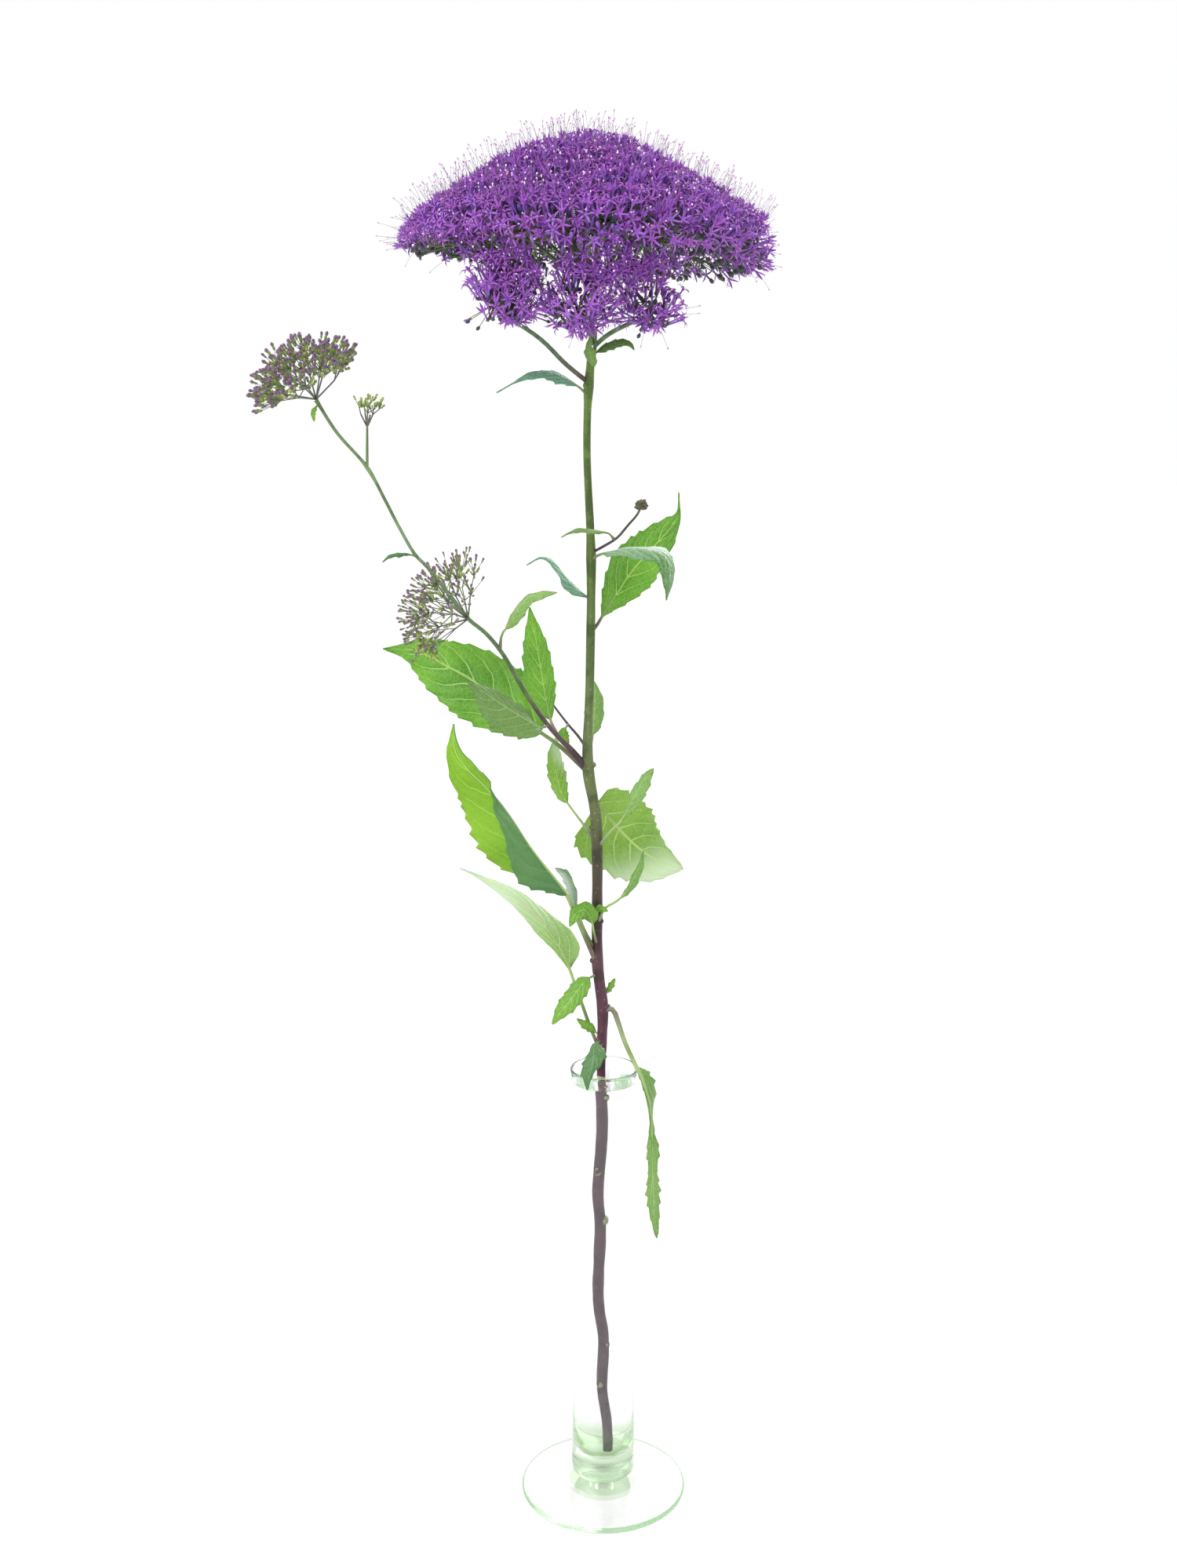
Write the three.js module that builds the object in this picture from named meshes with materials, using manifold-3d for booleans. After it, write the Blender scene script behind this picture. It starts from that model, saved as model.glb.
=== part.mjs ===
// Cut stem of throatwort standing in a glass bud vase, in millimetres, +Z up.
// The origin is the centre of the vase foot's flat underside. The front is -Y.
// A leaf, twig or head is one closed solid and keeps a hair's gap to what carries it.

import * as THREE from "three";
import { mergeVertices } from "three/addons/utils/BufferGeometryUtils.js";
import Module from "manifold-3d";

const wasm = await Module();
wasm.setup();

// Driving dimensions
const GAP = 0.3; // between a piece and what carries it
const SLIVER = 0.08; // edges shorter than this are closed up
const GOLDEN_ANGLE = Math.PI * (3 - Math.sqrt(5));

const VASE = {
  sides: 24,
  height: 196,
  foot: { radius: 36, edge: 3, crown: 6.2, shoulder: 14 },
  neck: { radius: 5.4, height: 7.4 },
  tube: { radius: 13.2, bottom: 9.2, flat: 12, belly: 0.7 },
  lip: { radius: 14.5, height: 7, round: 0.8 },
  bore: { radius: 11.8, widen: 0.4, widenBelow: 60, round: 6 },
  floor: 18,
};
const WATER = { sides: 20, level: 190, glassGap: 0.5, stemGap: 0.9, holeSteps: 20 };

const STEM = {
  sides: 7,
  steps: 44,
  radii: [[18.5, 1.5], [60, 1.75], [190, 1.85], [215, 2.25], [290, 2.25], [325, 2], [345, 1.7],
    [430, 1.7], [440, 1.5], [470, 1.5], [476, 1.95], [484, 1.5], [492, 1.8], [500, 1.4], [520, 1.2]],
  path: [[1.5, 0, 18.6], [1.1, 0, 34], [-0.3, 0, 48], [0, 0, 73], [-1.6, 0, 92], [-1, 0, 127],
    [-1.8, 0, 141], [-0.5, 0, 170], [-1.2, 0, 198], [-0.6, 0, 222], [-2.7, 0, 241],
    [-2.9, 0, 285], [-3.6, 0, 305], [-6.7, 0, 325], [-5.9, 0, 363], [-5.5, 0, 411],
    [-7.1, 0, 452], [-6.5, 0, 475], [-4.7, 0, 496], [-4.4, 0, 519.6]],
};
// Leaf scars and dormant buds on the woody part: place and reach
const SCARS = [[0.6, 0, 128.6, 1.9], [1.3, 0, 70.8, 1.7], [0.4, -0.6, 223, 2.7],
  [-2.9, 0, 151, 1.9], [-2.6, 0, 110.4, 1.9], [-1.2, 0.4, 52, 2], [-4.2, -0.5, 300, 2.4]];

const BRANCH = {
  sides: 6,
  steps: 30,
  radii: [1.45, 0.75, 0.7],
  path: [[-7.6, 0, 325], [-13.2, -2, 332.2], [-18.2, -4, 337.7], [-24.1, -6, 345.1],
    [-32.5, -8, 358.1], [-40.4, -10, 372.5], [-47, -12, 381.1], [-53.3, -13, 386.5],
    [-61.7, -14, 397.3], [-68.5, -15, 406.6], [-73.5, -16, 411.8], [-80.1, -17, 423.6],
    [-84.6, -18, 432.9], [-91, -20, 445.4], [-102, -22, 458.6], [-109.4, -22, 470.5]],
};
const SIDE_STALK = { radii: [0.6, 0.5], path: [[-91, -20, 445], [-90.8, -20, 453], [-90.6, -20, 460.4]] };
const RIGHT_TWIG = {
  radii: [0.6, 0.5],
  path: [[-5.6, 0, 411.5], [-0.3, -3, 414.6], [4.6, -4, 417.7], [9.2, -5, 423], [12.6, -6, 427],
    [14.3, -6, 430.5]],
};
const LEFT_TWIG = {
  radii: [0.6, 0.4],
  path: [[-6.6, 0, 331.5], [-10.5, 3.2, 337], [-14.8, 6, 341.6], [-21.3, 9, 349.8], [-23.2, 10, 352.9]],
};

// The flower head: a lobed dome whose height falls off with the 1.5 power of the radius
const HEAD = {
  x: -8,
  radius: 75,
  depth: 0.9,
  top: 571.6,
  fall: 40,
  power: 1.5,
  lobes: [[0.018, 5, 0.6], [0.014, 8, 2], [0.008, 13, 0]], // each is height, waves, phase
  bumps: { height: 0.9, across: 7.5, deep: 8.2 },
  florets: 90,
  rimFlorets: 24,
  rimReach: 70,
  rimDrop: [10, 4],
  rimLean: [-0.5, -0.2],
  rimDepth: 12,
  floretReach: 66.5,
  floretRadius: 6.8,
  floretDepth: 8,
  shell: 5.5,
  styleEvery: 4,
  turnJitter: 0.12,
  liftJitter: 0.9,
  edgeLean: 0.5,
  seed: 271,
  styleLength: 9,
};
const CORE = { sides: 18, rings: [20, 36, 49, 58] };
const FLORET = { throat: 1.5, notch: 0.4, dish: 2.6, notchDrop: 1.9, neckAt: 0.7, root: 2.2, size: 0.12 };
const STYLE = { radius: 0.42, root: 5 };
// Green rays that carry the head: an inner ring and an outer one that forks
const RAYS = { inner: 2, innerReach: 22, innerTurn: 0.5, outer: 7, outerReach: 50, outerTurn: 0.2,
  start: [512, 519], root: 1.1, tip: 0.6, sunk: 0.6, bendAcross: 0.5, bendUp: 0.62,
  fork: { turn: 0.42, wide: 1.05, deep: 0.95, tip: 0.48 } };

// The three lower side heads: hub, the way each faces, size and number of florets
const SIDE_HEADS = {
  left: { hub: [-40.4, -34.2, 502.5], facing: [-0.5, -0.7, 0.3], core: 7, florets: 15, seed: 31,
    stalk: [[-6.5, 0, 477.5], [-15, -7, 484.1], [-24.9, -20, 493.2], [-40.4, -34.2, 502.5]] },
  front: { hub: [-10.4, -38.5, 502.5], facing: [-0.05, -0.9, 0.2], core: 5.5, florets: 12, seed: 32,
    stalk: [[-5, 0, 494.5], [-7.5, -14, 497.5], [-10.4, -38.5, 502.5]] },
  right: { hub: [16.5, -29.5, 501.5], facing: [0.4, -0.8, 0.25], core: 6.5, florets: 14, seed: 33,
    stalk: [[-5.2, 0, 490.5], [1.8, -13, 495.5], [16.5, -29.5, 501.5]] },
};
const SIDE_STALK_RADII = [0.8, 0.7];
const SIDE_FLORET = { radius: 5.8, depth: 8.5, spread: 2, style: 7, uneven: 1.6 };

// Bud heads on the left branch: hub, axis, reach of the rays, half-angle in radians
const BUD_HEADS = {
  bud_head_top: { hub: [-109.4, -22, 470.8], axis: [-0.45, 0, 0.9], reach: 25, spread: 1.25,
    rays: 7, buds: 5, seed: 11 },
  bud_head_low: { hub: [-53.6, -15.5, 387], axis: [-0.5, -0.4, 0.62], reach: 27, spread: 1.5,
    rays: 7, buds: 5, seed: 23 },
  bud_head_small: { hub: [-90.6, -20, 460.6], axis: [0.1, 0, 1], reach: 11, spread: 0.85,
    rays: 4, buds: 3, seed: 5 },
};
const BUD_CLUSTER = { count: 8, radius: 1.15, reach: 1.9, spread: 1.5, seed: 7 };
const BUD = { radius: 0.85, length: 2.3, stalk: 5.5, stalkRadius: 0.4, ray: 0.45, knot: 0.8, hub: 2,
  middleLean: 0.1, outerLean: 0.8 };

// Colours seen in daylight
const COLOUR = {
  glass: 0xcfe6d4,
  water: 0xe9f3f0,
  stem: 0x5f6b3c,
  branch: 0x566b46,
  petal: 0x6a2fa6,
  bud: 0x8c7d6e,
  leaf: 0x6fae3a,
  paleLeaf: 0x9cc46c,
  greyLeaf: 0x6f9a76,
};

// Leaves. rib runs from the stem to the tip, stalk is the share of it that is leaf stalk,
// half is the widest half-width, facing lists the ways the upper face looks from base to tip,
// droop folds the two halves down about the rib, in degrees.
const LEAVES = {
  leaf_broad_left: { teeth: 11, half: 16.5, stalk: 0.24, shape: [0.5, 0.85], wave: 1.1, colour: "leaf",
    facing: [[-0.1, -0.9, 0.3]], droop: [8, 8],
    rib: [[-7.8, 0, 324], [-18.7, 4, 333.4], [-29.7, 8, 340.5], [-41.7, 12, 349], [-55, 16, 358.8],
      [-64.5, 18, 363.8], [-77.8, 20, 370], [-91.4, 20, 371]] },
  leaf_grey_left: { teeth: 7, half: 6.5, stalk: 0.12, shape: [0.5, 1], wave: 0.6, colour: "greyLeaf",
    facing: [[-0.3, -0.6, 0.7]], droop: [12, 22],
    rib: [[-22.6, -5.2, 343.5], [-25.3, -9, 342.7], [-28.4, -12, 344.8], [-37.6, -14, 350.8],
      [-46.8, -14, 357.1], [-55, -12, 362.7]] },
  leaf_upright_left: { teeth: 9, half: 8.6, stalk: 0.16, shape: [0.5, 0.9], wave: 0.6, colour: "leaf",
    facing: [[0.1, -1, 0.1]], droop: [10, 10],
    rib: [[-18.6, -3.6, 338.3], [-21.4, 0.5, 343.1], [-23, 4, 348], [-25, 6, 358.9], [-27.5, 8, 374.1],
      [-30.3, 8, 389.3]] },
  leaf_high_left: { teeth: 5, half: 4, stalk: 0.25, shape: [0.6, 0.8], wave: 0.3, colour: "leaf",
    facing: [[0, -0.5, 0.85]], droop: [15, 15],
    rib: [[-41.5, -10.4, 374.6], [-40.5, -12.5, 380.8], [-37.9, -13.5, 384.3], [-33.8, -15, 390.7],
      [-30, -17, 395.2], [-24.8, -18, 397.1], [-18.7, -18, 397.5]] },
  leaf_curl_left: { teeth: 5, half: 3.8, stalk: 0.2, shape: [0.6, 0.8], wave: 0.3, colour: "greyLeaf",
    facing: [[0.3, -0.5, 0.8], [0, -0.4, 0.9]], droop: [20, 20],
    rib: [[-5.6, 0, 393], [-11.8, -3, 398.2], [-15.2, -5, 402.1], [-18.5, -8, 406.9],
      [-21.9, -10, 409.9], [-25.5, -12, 410.6], [-30.7, -12, 407.6]] },
  leaf_crossing: { teeth: 4, half: 2.6, stalk: 0.2, shape: [0.6, 0.8], wave: 0.2, colour: "leaf",
    facing: [[0, -0.4, 1]], droop: [20, 20],
    rib: [[3.6, -3.8, 417.2], [1.6, -6, 419.6], [-1.3, -7.6, 420.5], [-5, -9, 421.1],
      [-9.6, -10, 421.6], [-13.5, -10, 420.5], [-17.2, -9, 418.3]] },
  leaf_folding_right: { teeth: 8, half: 7, stalk: 0.16, shape: [0.6, 0.7], wave: 0.5, colour: "greyLeaf",
    facing: [[0, -0.4, 1], [0.1, -0.4, 1], [1, -0.6, 0.1]], droop: [12, 12],
    rib: [[-5.2, 0, 409], [-2.4, -5, 411.2], [2.7, -9.5, 412.8], [8.8, -14, 414.4], [16.2, -20, 414.2],
      [22.1, -23, 412.6], [24.5, -24, 408.1], [24.6, -24, 401.2], [23.5, -23, 395.1]] },
  leaf_awned_right: { teeth: 10, half: 10.6, stalk: 0.13, shape: [0.6, 1.15], wave: 0.8, colour: "leaf",
    facing: [[0.1, -1, 0.1]], droop: [8, 8],
    rib: [[-5.4, 0.4, 380], [-2.7, 4, 383.1], [-0.8, 5.5, 386.2], [4.9, 8, 394.7], [11.9, 11, 404.6],
      [20.5, 14, 413.8], [26.9, 16, 421], [29.7, 16, 425.4], [29.9, 15, 434.8]] },
  leaf_behind_stem: { teeth: 4, half: 4, stalk: 0.3, shape: [0.6, 0.8], wave: 0.3, colour: "leaf",
    facing: [[0.1, -1, 0.1]], droop: [10, 10],
    rib: [[-6.2, 1, 330], [-4.9, 6, 336.1], [-4.2, 9, 343.9], [-3.9, 10, 351.9], [-4.3, 10, 359]] },
  leaf_slim_left: { teeth: 5, half: 3.7, stalk: 0.4, shape: [0.6, 0.8], wave: 0.3, colour: "paleLeaf",
    facing: [[-0.2, -1, 0.2]], droop: [15, 15],
    rib: [[-4, 0.4, 294.6], [-9.1, 3, 301.1], [-13.9, 6, 307], [-17.5, 7, 312.4], [-19.8, 8, 321.2],
      [-20.7, 9, 329.2], [-19.4, 9, 336.4]] },
  leaf_twig: { teeth: 3, half: 2.2, stalk: 0.2, shape: [0.6, 0.8], wave: 0, colour: "leaf",
    facing: [[0, -1, 0.3]], droop: [10, 10],
    rib: [[-14.8, 6, 341.6], [-16.6, 4.4, 339.2], [-16.3, 4, 336.6], [-14.5, 4, 333.6]] },
  leaf_pale_right: { teeth: 10, half: 16.5, stalk: 0.22, shape: [0.45, 0.75], wave: 1.1,
    colour: "paleLeaf", facing: [[0, -0.9, 0.4]], droop: [6, 10],
    rib: [[-3.8, 1, 301], [-5.6, 8, 309], [-2, 14, 305.5], [7, 22, 293.5], [14.6, 28, 284.7],
      [23.3, 34, 277.4], [34.5, 38, 272.6]] },
  leaf_rising_right: { teeth: 5, half: 4, stalk: 0.38, shape: [0.6, 0.7], wave: 0.4, colour: "leaf",
    facing: [[-0.5, -0.6, 0.5]], droop: [15, 15],
    rib: [[-2.9, 0, 291], [2.1, -5, 299], [6.5, -8, 304.2], [9.6, -10, 309.9], [12.7, -12, 316.4],
      [16.7, -14, 323.9], [19.5, -14, 327.1]] },
  leaf_curved_right: { teeth: 4, half: 3.4, stalk: 0.45, shape: [0.6, 0.8], wave: 0.3, colour: "leaf",
    facing: [[-0.6, -0.5, 0.5], [-0.9, -0.5, 0.1]], droop: [15, 15],
    rib: [[-2.8, -0.4, 258.6], [0.3, -5, 266.9], [5, -8, 270.7], [8.8, -10, 275.2], [11.9, -12, 281.3],
      [14.4, -13, 287.5], [15.7, -13, 293.3]] },
  leaf_folded_left: { teeth: 11, half: 18.5, stalk: 0.26, shape: [0.5, 0.95], wave: 0.9, colour: "leaf",
    facing: [[0.7, 0.34, 0.61]], droop: [58, 58], ridge: 0.55,
    rib: [[-3.2, 0, 242], [-8.1, -5, 255.1], [-11.9, -10, 265.6], [-15.7, -14, 275.6],
      [-20.4, -17, 283], [-29.3, -22, 296.5], [-38, -26, 311.4], [-46.7, -28, 322.9],
      [-53.1, -28, 329.1], [-57.7, -27, 335.2], [-59.2, -26, 340.9], [-59.2, -25, 347]] },
  leaf_folded_small: { teeth: 3, half: 3.6, stalk: 0.5, shape: [0.6, 0.7], wave: 0.2, colour: "greyLeaf",
    facing: [[0.6, -0.5, 0.6]], droop: [15, 15],
    rib: [[-3.2, -0.6, 246.5], [-8.6, -2, 258], [-11.4, -3, 267], [-12.6, -5, 274.7],
      [-15.7, -8, 282], [-20, -10, 285]] },
  leaf_pale_left: { teeth: 9, half: 11, stalk: 0.3, shape: [0.5, 0.95], wave: 0.7, colour: "paleLeaf",
    facing: [[0.15, -0.95, 0.3]], droop: [6, 34],
    rib: [[-1.8, 0.2, 203.4], [-6.2, 4, 213.6], [-9.6, 7, 222.6], [-13.1, 9.5, 232],
      [-15.6, 11, 238.6], [-22.8, 14, 250.5], [-32.8, 18, 261.5], [-43.2, 20, 268.5],
      [-53.2, 21, 273.8], [-61.1, 21, 277.2]] },
  leaf_toothed_low: { teeth: 5, half: 4.4, stalk: 0.18, shape: [0.45, 0.7], wave: 0.4, colour: "leaf",
    facing: [[-0.3, -0.9, 0.4]], droop: [10, 10],
    rib: [[-2.6, 0, 237], [-7.2, -5, 236.3], [-11, -8, 232.5], [-15.2, -10, 227.4],
      [-18.5, -11, 223.6], [-21.4, -11, 218.9]] },
  leaf_bud_low: { teeth: 3, half: 2.1, stalk: 0.25, shape: [0.5, 0.7], wave: 0, colour: "leaf",
    facing: [[0.3, -0.9, 0.2]], droop: [10, 10],
    rib: [[-1.4, 0, 209.6], [-5.5, -3, 214.4], [-8.1, -5, 216.8], [-11.4, -6, 219.6]] },
  leaf_over_rim: { teeth: 5, half: 4.1, stalk: 0.16, shape: [0.6, 0.7], wave: 0.3, colour: "leaf",
    facing: [[0, -0.2, 1], [-0.2, -1, 0.4], [-0.2, -1, 0]], droop: [12, 12],
    rib: [[-1.2, 0, 208], [-4, -9, 209.2], [-4.4, -15, 207.8], [-5, -18.6, 203.8], [-6.2, -19.6, 199],
      [-7, -19.4, 193.5]] },
  leaf_hanging_right: { teeth: 10, half: 4.8, stalk: 0.28, shape: [0.45, 0.6], wave: 0.9, colour: "leaf",
    facing: [[0.7, -0.3, 0.6], [0.9, -0.3, 0.2], [0.7, -0.7, 0.1], [-0.4, -0.9, 0], [0.5, -0.8, 0]],
    droop: [14, 14],
    rib: [[-0.4, 0, 221.5], [3.6, -3, 222.6], [6, -6, 217.5], [8.4, -9, 211], [12.4, -12, 202.8],
      [15.4, -13.5, 197], [18, -14, 188.5], [19.6, -13, 178.7], [20.1, -12, 168.6],
      [20.2, -11, 158.7], [20.7, -10, 145.8], [21.4, -9, 134.7], [22.6, -8, 122.4]] },
  leaf_sprout_right: { teeth: 3, half: 1.7, stalk: 0.3, shape: [0.5, 0.7], wave: 0, colour: "leaf",
    facing: [[0.3, -0.8, 0.6]], droop: [10, 10],
    rib: [[-0.4, 0.4, 226.5], [1.6, 1.6, 229], [3.1, 2, 231.6], [4.6, 2, 234.6]] },
  leaf_under_head: { teeth: 6, half: 3.5, stalk: 0.16, shape: [0.5, 0.85], wave: 0.3, colour: "greyLeaf",
    facing: [[0, -0.5, 0.9]], droop: [14, 14],
    rib: [[-6.6, 0, 472.6], [-10.5, -3, 476], [-15, -6, 478.6], [-19.5, -9, 480.4],
      [-23.9, -12, 481], [-28.6, -14, 480], [-33.4, -15, 477.9], [-41.5, -16, 473.3]] },
  bract_front: { teeth: 3, half: 2.5, stalk: 0.12, shape: [0.5, 0.7], wave: 0, colour: "leaf",
    facing: [[0.1, -1, 0.1]], droop: [12, 12],
    rib: [[-5.6, 0, 482.6], [-4.7, -4, 484.8], [-4.9, -5.6, 488], [-4.8, -5.8, 490.6],
      [-4.7, -5, 493]] },
  bract_right: { teeth: 4, half: 1.5, stalk: 0.14, shape: [0.5, 0.7], wave: 0, colour: "leaf",
    facing: [[0, -0.5, 0.9]], droop: [12, 12],
    rib: [[-5.2, 0, 486.6], [0.1, -4.4, 488.6], [3.7, -7.6, 489.6], [7.3, -10, 490.2],
      [9.4, -11, 489.6], [10.9, -11, 487.5]] },
  leaf_axil_left: { teeth: 4, half: 4.2, stalk: 0.4, shape: [0.5, 0.7], wave: 0.3, colour: "leaf",
    facing: [[-0.2, -0.9, 0.4], [-0.3, -0.8, 0.6]], droop: [12, 12],
    rib: [[-3, -0.8, 250], [-4.4, -5, 257], [-5.4, -9.4, 263.5], [-8.2, -13.2, 268.4],
      [-11.6, -15.6, 267.6], [-14.1, -16.8, 262.5]] },
  leaf_axil_right: { teeth: 3, half: 2, stalk: 0.2, shape: [0.5, 0.7], wave: 0, colour: "leaf",
    facing: [[0.2, -0.9, 0.4]], droop: [10, 10],
    rib: [[-2.9, -0.6, 262.4], [-2.6, -5, 265.6], [-1.2, -7, 267.3], [1.4, -8.4, 266.5]] },
  bract_branch: { teeth: 4, half: 1.7, stalk: 0.2, shape: [0.5, 0.8], wave: 0, colour: "greyLeaf",
    facing: [[0, -0.6, 0.8]], droop: [15, 15],
    rib: [[-73.1, -15.9, 411.4], [-76.6, -18, 412.4], [-79.7, -20, 412.4], [-83, -21, 411.8],
      [-85.8, -22, 409.5]] },
  bract_bud_head: { teeth: 3, half: 1.5, stalk: 0.25, shape: [0.5, 0.7], wave: 0, colour: "leaf",
    facing: [[-0.5, -0.8, 0.2]], droop: [12, 12],
    rib: [[-108.3, -22, 468.7], [-109.6, -24.6, 467.6], [-110.2, -25.6, 465.6],
      [-109.8, -25.6, 462.6]] },
};
const BLADE = { thick: 0.7, tip: 0.3, stalkRadius: 0.55, stalkStep: 8, notch: 0.9, point: 1.07, lean: 0.78,
  waves: 14, phase: 1.1, ridge: 0.2 };

// Small helpers
const vector = (p) => new THREE.Vector3(p[0], p[1], p[2]);
const curveThrough = (points) => new THREE.CatmullRomCurve3(points.map(vector));

function seededRandom(seed) {
  let state = seed;
  return () => {
    state = (state * 16807) % 2147483647;
    return state / 2147483647;
  };
}

// Value at x on a line through the table's [x, value] pairs
function along(table, x) {
  let i = 1;
  while (i < table.length - 1 && x > table[i][0]) i += 1;
  const [x0, a] = table[i - 1];
  const [x1, b] = table[i];
  return a + (b - a) * THREE.MathUtils.clamp((x - x0) / (x1 - x0), 0, 1);
}

// A closed solid from a geometry whose shared corners are merged
function solidOf(geometry) {
  geometry.deleteAttribute("normal");
  geometry.deleteAttribute("uv");
  const merged = mergeVertices(geometry, 1e-3);
  const index = merged.index.array;
  const kept = [];
  for (let i = 0; i < index.length; i += 3) {
    const [a, b, c] = [index[i], index[i + 1], index[i + 2]];
    if (a !== b && b !== c && c !== a) kept.push(a, b, c);
  }
  return new wasm.Manifold(
    new wasm.Mesh({
      numProp: 3,
      vertProperties: new Float32Array(merged.attributes.position.array),
      triVerts: new Uint32Array(kept),
    }),
  );
}

// Joins solids two by two, so that each join stays small
function joined(solids) {
  let level = solids;
  while (level.length > 1) {
    const next = [];
    for (let i = 0; i < level.length; i += 2)
      next.push(i + 1 < level.length ? level[i].add(level[i + 1]) : level[i]);
    level = next;
  }
  return level[0];
}

// Cuts the carriers away, then keeps the largest piece that is left
function cutFree(solid, carriers) {
  const cut = carriers.reduce((rest, carrier) => rest.subtract(carrier), solid);
  const pieces = cut.simplify(SLIVER).decompose();
  return pieces.reduce((best, piece) => (piece.volume() > best.volume() ? piece : best));
}

function meshOf(name, solid, material) {
  const { vertProperties, triVerts } = solid.getMesh();
  const geometry = new THREE.BufferGeometry();
  geometry.setAttribute("position", new THREE.BufferAttribute(vertProperties, 3));
  geometry.setIndex(new THREE.BufferAttribute(triVerts, 1));
  const mesh = new THREE.Mesh(geometry, material);
  mesh.name = name;
  return mesh;
}

function finish(colour, roughness, metalness = 0) {
  return new THREE.MeshStandardMaterial({ color: colour, roughness, metalness });
}

// A round rod along a curve; radiusAt gives its radius at each point. It is extruded
// thin, then every ring is widened about its own point of the curve.
function rod(points, radiusAt, sides, steps) {
  const pilot = 0.05;
  const curve = curveThrough(points);
  const section = new THREE.Shape();
  for (let i = 0; i < sides; i += 1) {
    const angle = (2 * Math.PI * i) / sides;
    const [x, y] = [pilot * Math.cos(angle), pilot * Math.sin(angle)];
    if (i === 0) section.moveTo(x, y);
    else section.lineTo(x, y);
  }
  const geometry = new THREE.ExtrudeGeometry(section, { steps, extrudePath: curve, bevelEnabled: false });
  const centres = curve.getSpacedPoints(steps);
  const position = geometry.attributes.position;
  const corner = new THREE.Vector3();
  for (let i = 0; i < position.count; i += 1) {
    corner.fromBufferAttribute(position, i);
    let nearest = 0;
    centres.forEach((centre, k) => {
      if (corner.distanceTo(centre) < corner.distanceTo(centres[nearest])) nearest = k;
    });
    const centre = centres[nearest];
    const scale = radiusAt(centre, nearest / steps) / pilot;
    corner.sub(centre).multiplyScalar(scale).add(centre);
    position.setXYZ(i, corner.x, corner.y, corner.z);
  }
  return solidOf(geometry);
}

// A rod whose radius goes through the given values from end to end
function taperedRod(points, radii, sides, steps, extra = 0) {
  const table = radii.map((radius, i) => [i / (radii.length - 1), radius]);
  return rod(points, (point, u) => along(table, u) + extra, sides, steps);
}

// The room round a tapered rod and its tip
function rodRoom(points, radii, sides, steps) {
  const tip = vector(points[points.length - 1]);
  const cap = new THREE.IcosahedronGeometry(radii[radii.length - 1] + 2 * GAP, 0);
  return taperedRod(points, radii, sides, steps, GAP).add(solidOf(cap.translate(tip.x, tip.y, tip.z)));
}

// The way that leans from +Z by tilt, turned round it by angle
function tilted(tilt, angle) {
  const sine = Math.sin(tilt);
  return new THREE.Vector3(sine * Math.cos(angle), sine * Math.sin(angle), Math.cos(tilt));
}

// Turns a solid's own +Z to a direction and moves its origin to a place
function placed(geometry, place, direction, turn = 0) {
  geometry.rotateZ(turn);
  const up = new THREE.Vector3(0, 0, 1);
  const spin = new THREE.Quaternion().setFromUnitVectors(up, direction.clone().normalize());
  geometry.applyQuaternion(spin);
  geometry.translate(place.x, place.y, place.z);
  return geometry;
}

// A round of few sides: its profile goes round the Z axis
function turned(profile, sides) {
  const points = profile.map(([radius, z]) => new THREE.Vector2(radius, z));
  return new THREE.LatheGeometry(points, sides).rotateX(Math.PI / 2);
}

// Vase and water
function vaseSolid() {
  const { foot, neck, tube, lip, bore, height, floor } = VASE;
  const profile = [
    [0, 0],
    [foot.radius - 0.8, 0],
    [foot.radius, 1],
    [foot.radius - 0.9, foot.edge],
    [foot.shoulder, (foot.edge + foot.crown) / 2],
    [neck.radius + 0.6, foot.crown],
    [neck.radius, neck.height],
    [tube.radius - 0.6, tube.bottom],
    [tube.radius + tube.belly, tube.flat],
    [tube.radius, height / 2],
    [tube.radius, height - lip.height],
    [lip.radius, height - lip.round],
    [lip.radius - 0.5, height],
    [bore.radius + 1.1, height],
    [bore.radius, height - lip.height - 1],
    [bore.radius + bore.widen, bore.widenBelow],
    [bore.radius + bore.widen, floor + bore.round],
    [bore.radius - 2.4, floor + 1],
    [0, floor],
  ];
  return solidOf(turned(profile, VASE.sides));
}

// Water stands round the stem in a plain hole, with room for its scars
function waterSolid() {
  const radius = (point) => along(STEM.radii, point.z) + WATER.stemGap;
  const hole = rod(STEM.path, radius, 6, WATER.holeSteps);
  const scars = SCARS.filter(([, , z]) => z < WATER.level).map((scar) => scarSolid(scar, 2 * GAP));
  const edge = VASE.bore.radius - WATER.glassGap;
  const bottom = VASE.floor + WATER.glassGap;
  const profile = [
    [0, bottom],
    [edge - 2.4, bottom + 1.2],
    [edge, bottom + VASE.bore.round],
    [edge, WATER.level],
    [0, WATER.level],
  ];
  return cutFree(solidOf(turned(profile, WATER.sides)), [joined([hole, ...scars])]);
}

// Main stem, with its leaf scars
function stemRod(extra = 0) {
  return rod(STEM.path, (point) => along(STEM.radii, point.z) + extra, STEM.sides, STEM.steps);
}

function scarSolid([x, y, z, reach], extra = 0) {
  const knob = new THREE.OctahedronGeometry(reach + extra, 0).scale(1, 1, 0.8);
  return solidOf(knob.translate(x, y, z));
}

// What leaves keep clear of
function stemRoom() {
  return joined([stemRod(GAP), ...SCARS.map((scar) => scarSolid(scar, 2 * GAP))]);
}

// Flower head
function headLobes(angle) {
  const lobe = ([height, waves, phase]) => height * Math.sin(waves * angle + phase);
  return HEAD.lobes.reduce((sum, row) => sum + lobe(row), 1);
}

function headHeight(x, y) {
  const [dx, dy] = [x - HEAD.x, y / HEAD.depth];
  const share = Math.hypot(dx, dy) / (HEAD.radius * headLobes(Math.atan2(dy, dx)));
  const { height, across, deep } = HEAD.bumps;
  const bump = height * Math.sin(x / across + 1) * Math.cos(y / deep);
  return HEAD.top - HEAD.fall * share ** HEAD.power + bump;
}

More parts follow.
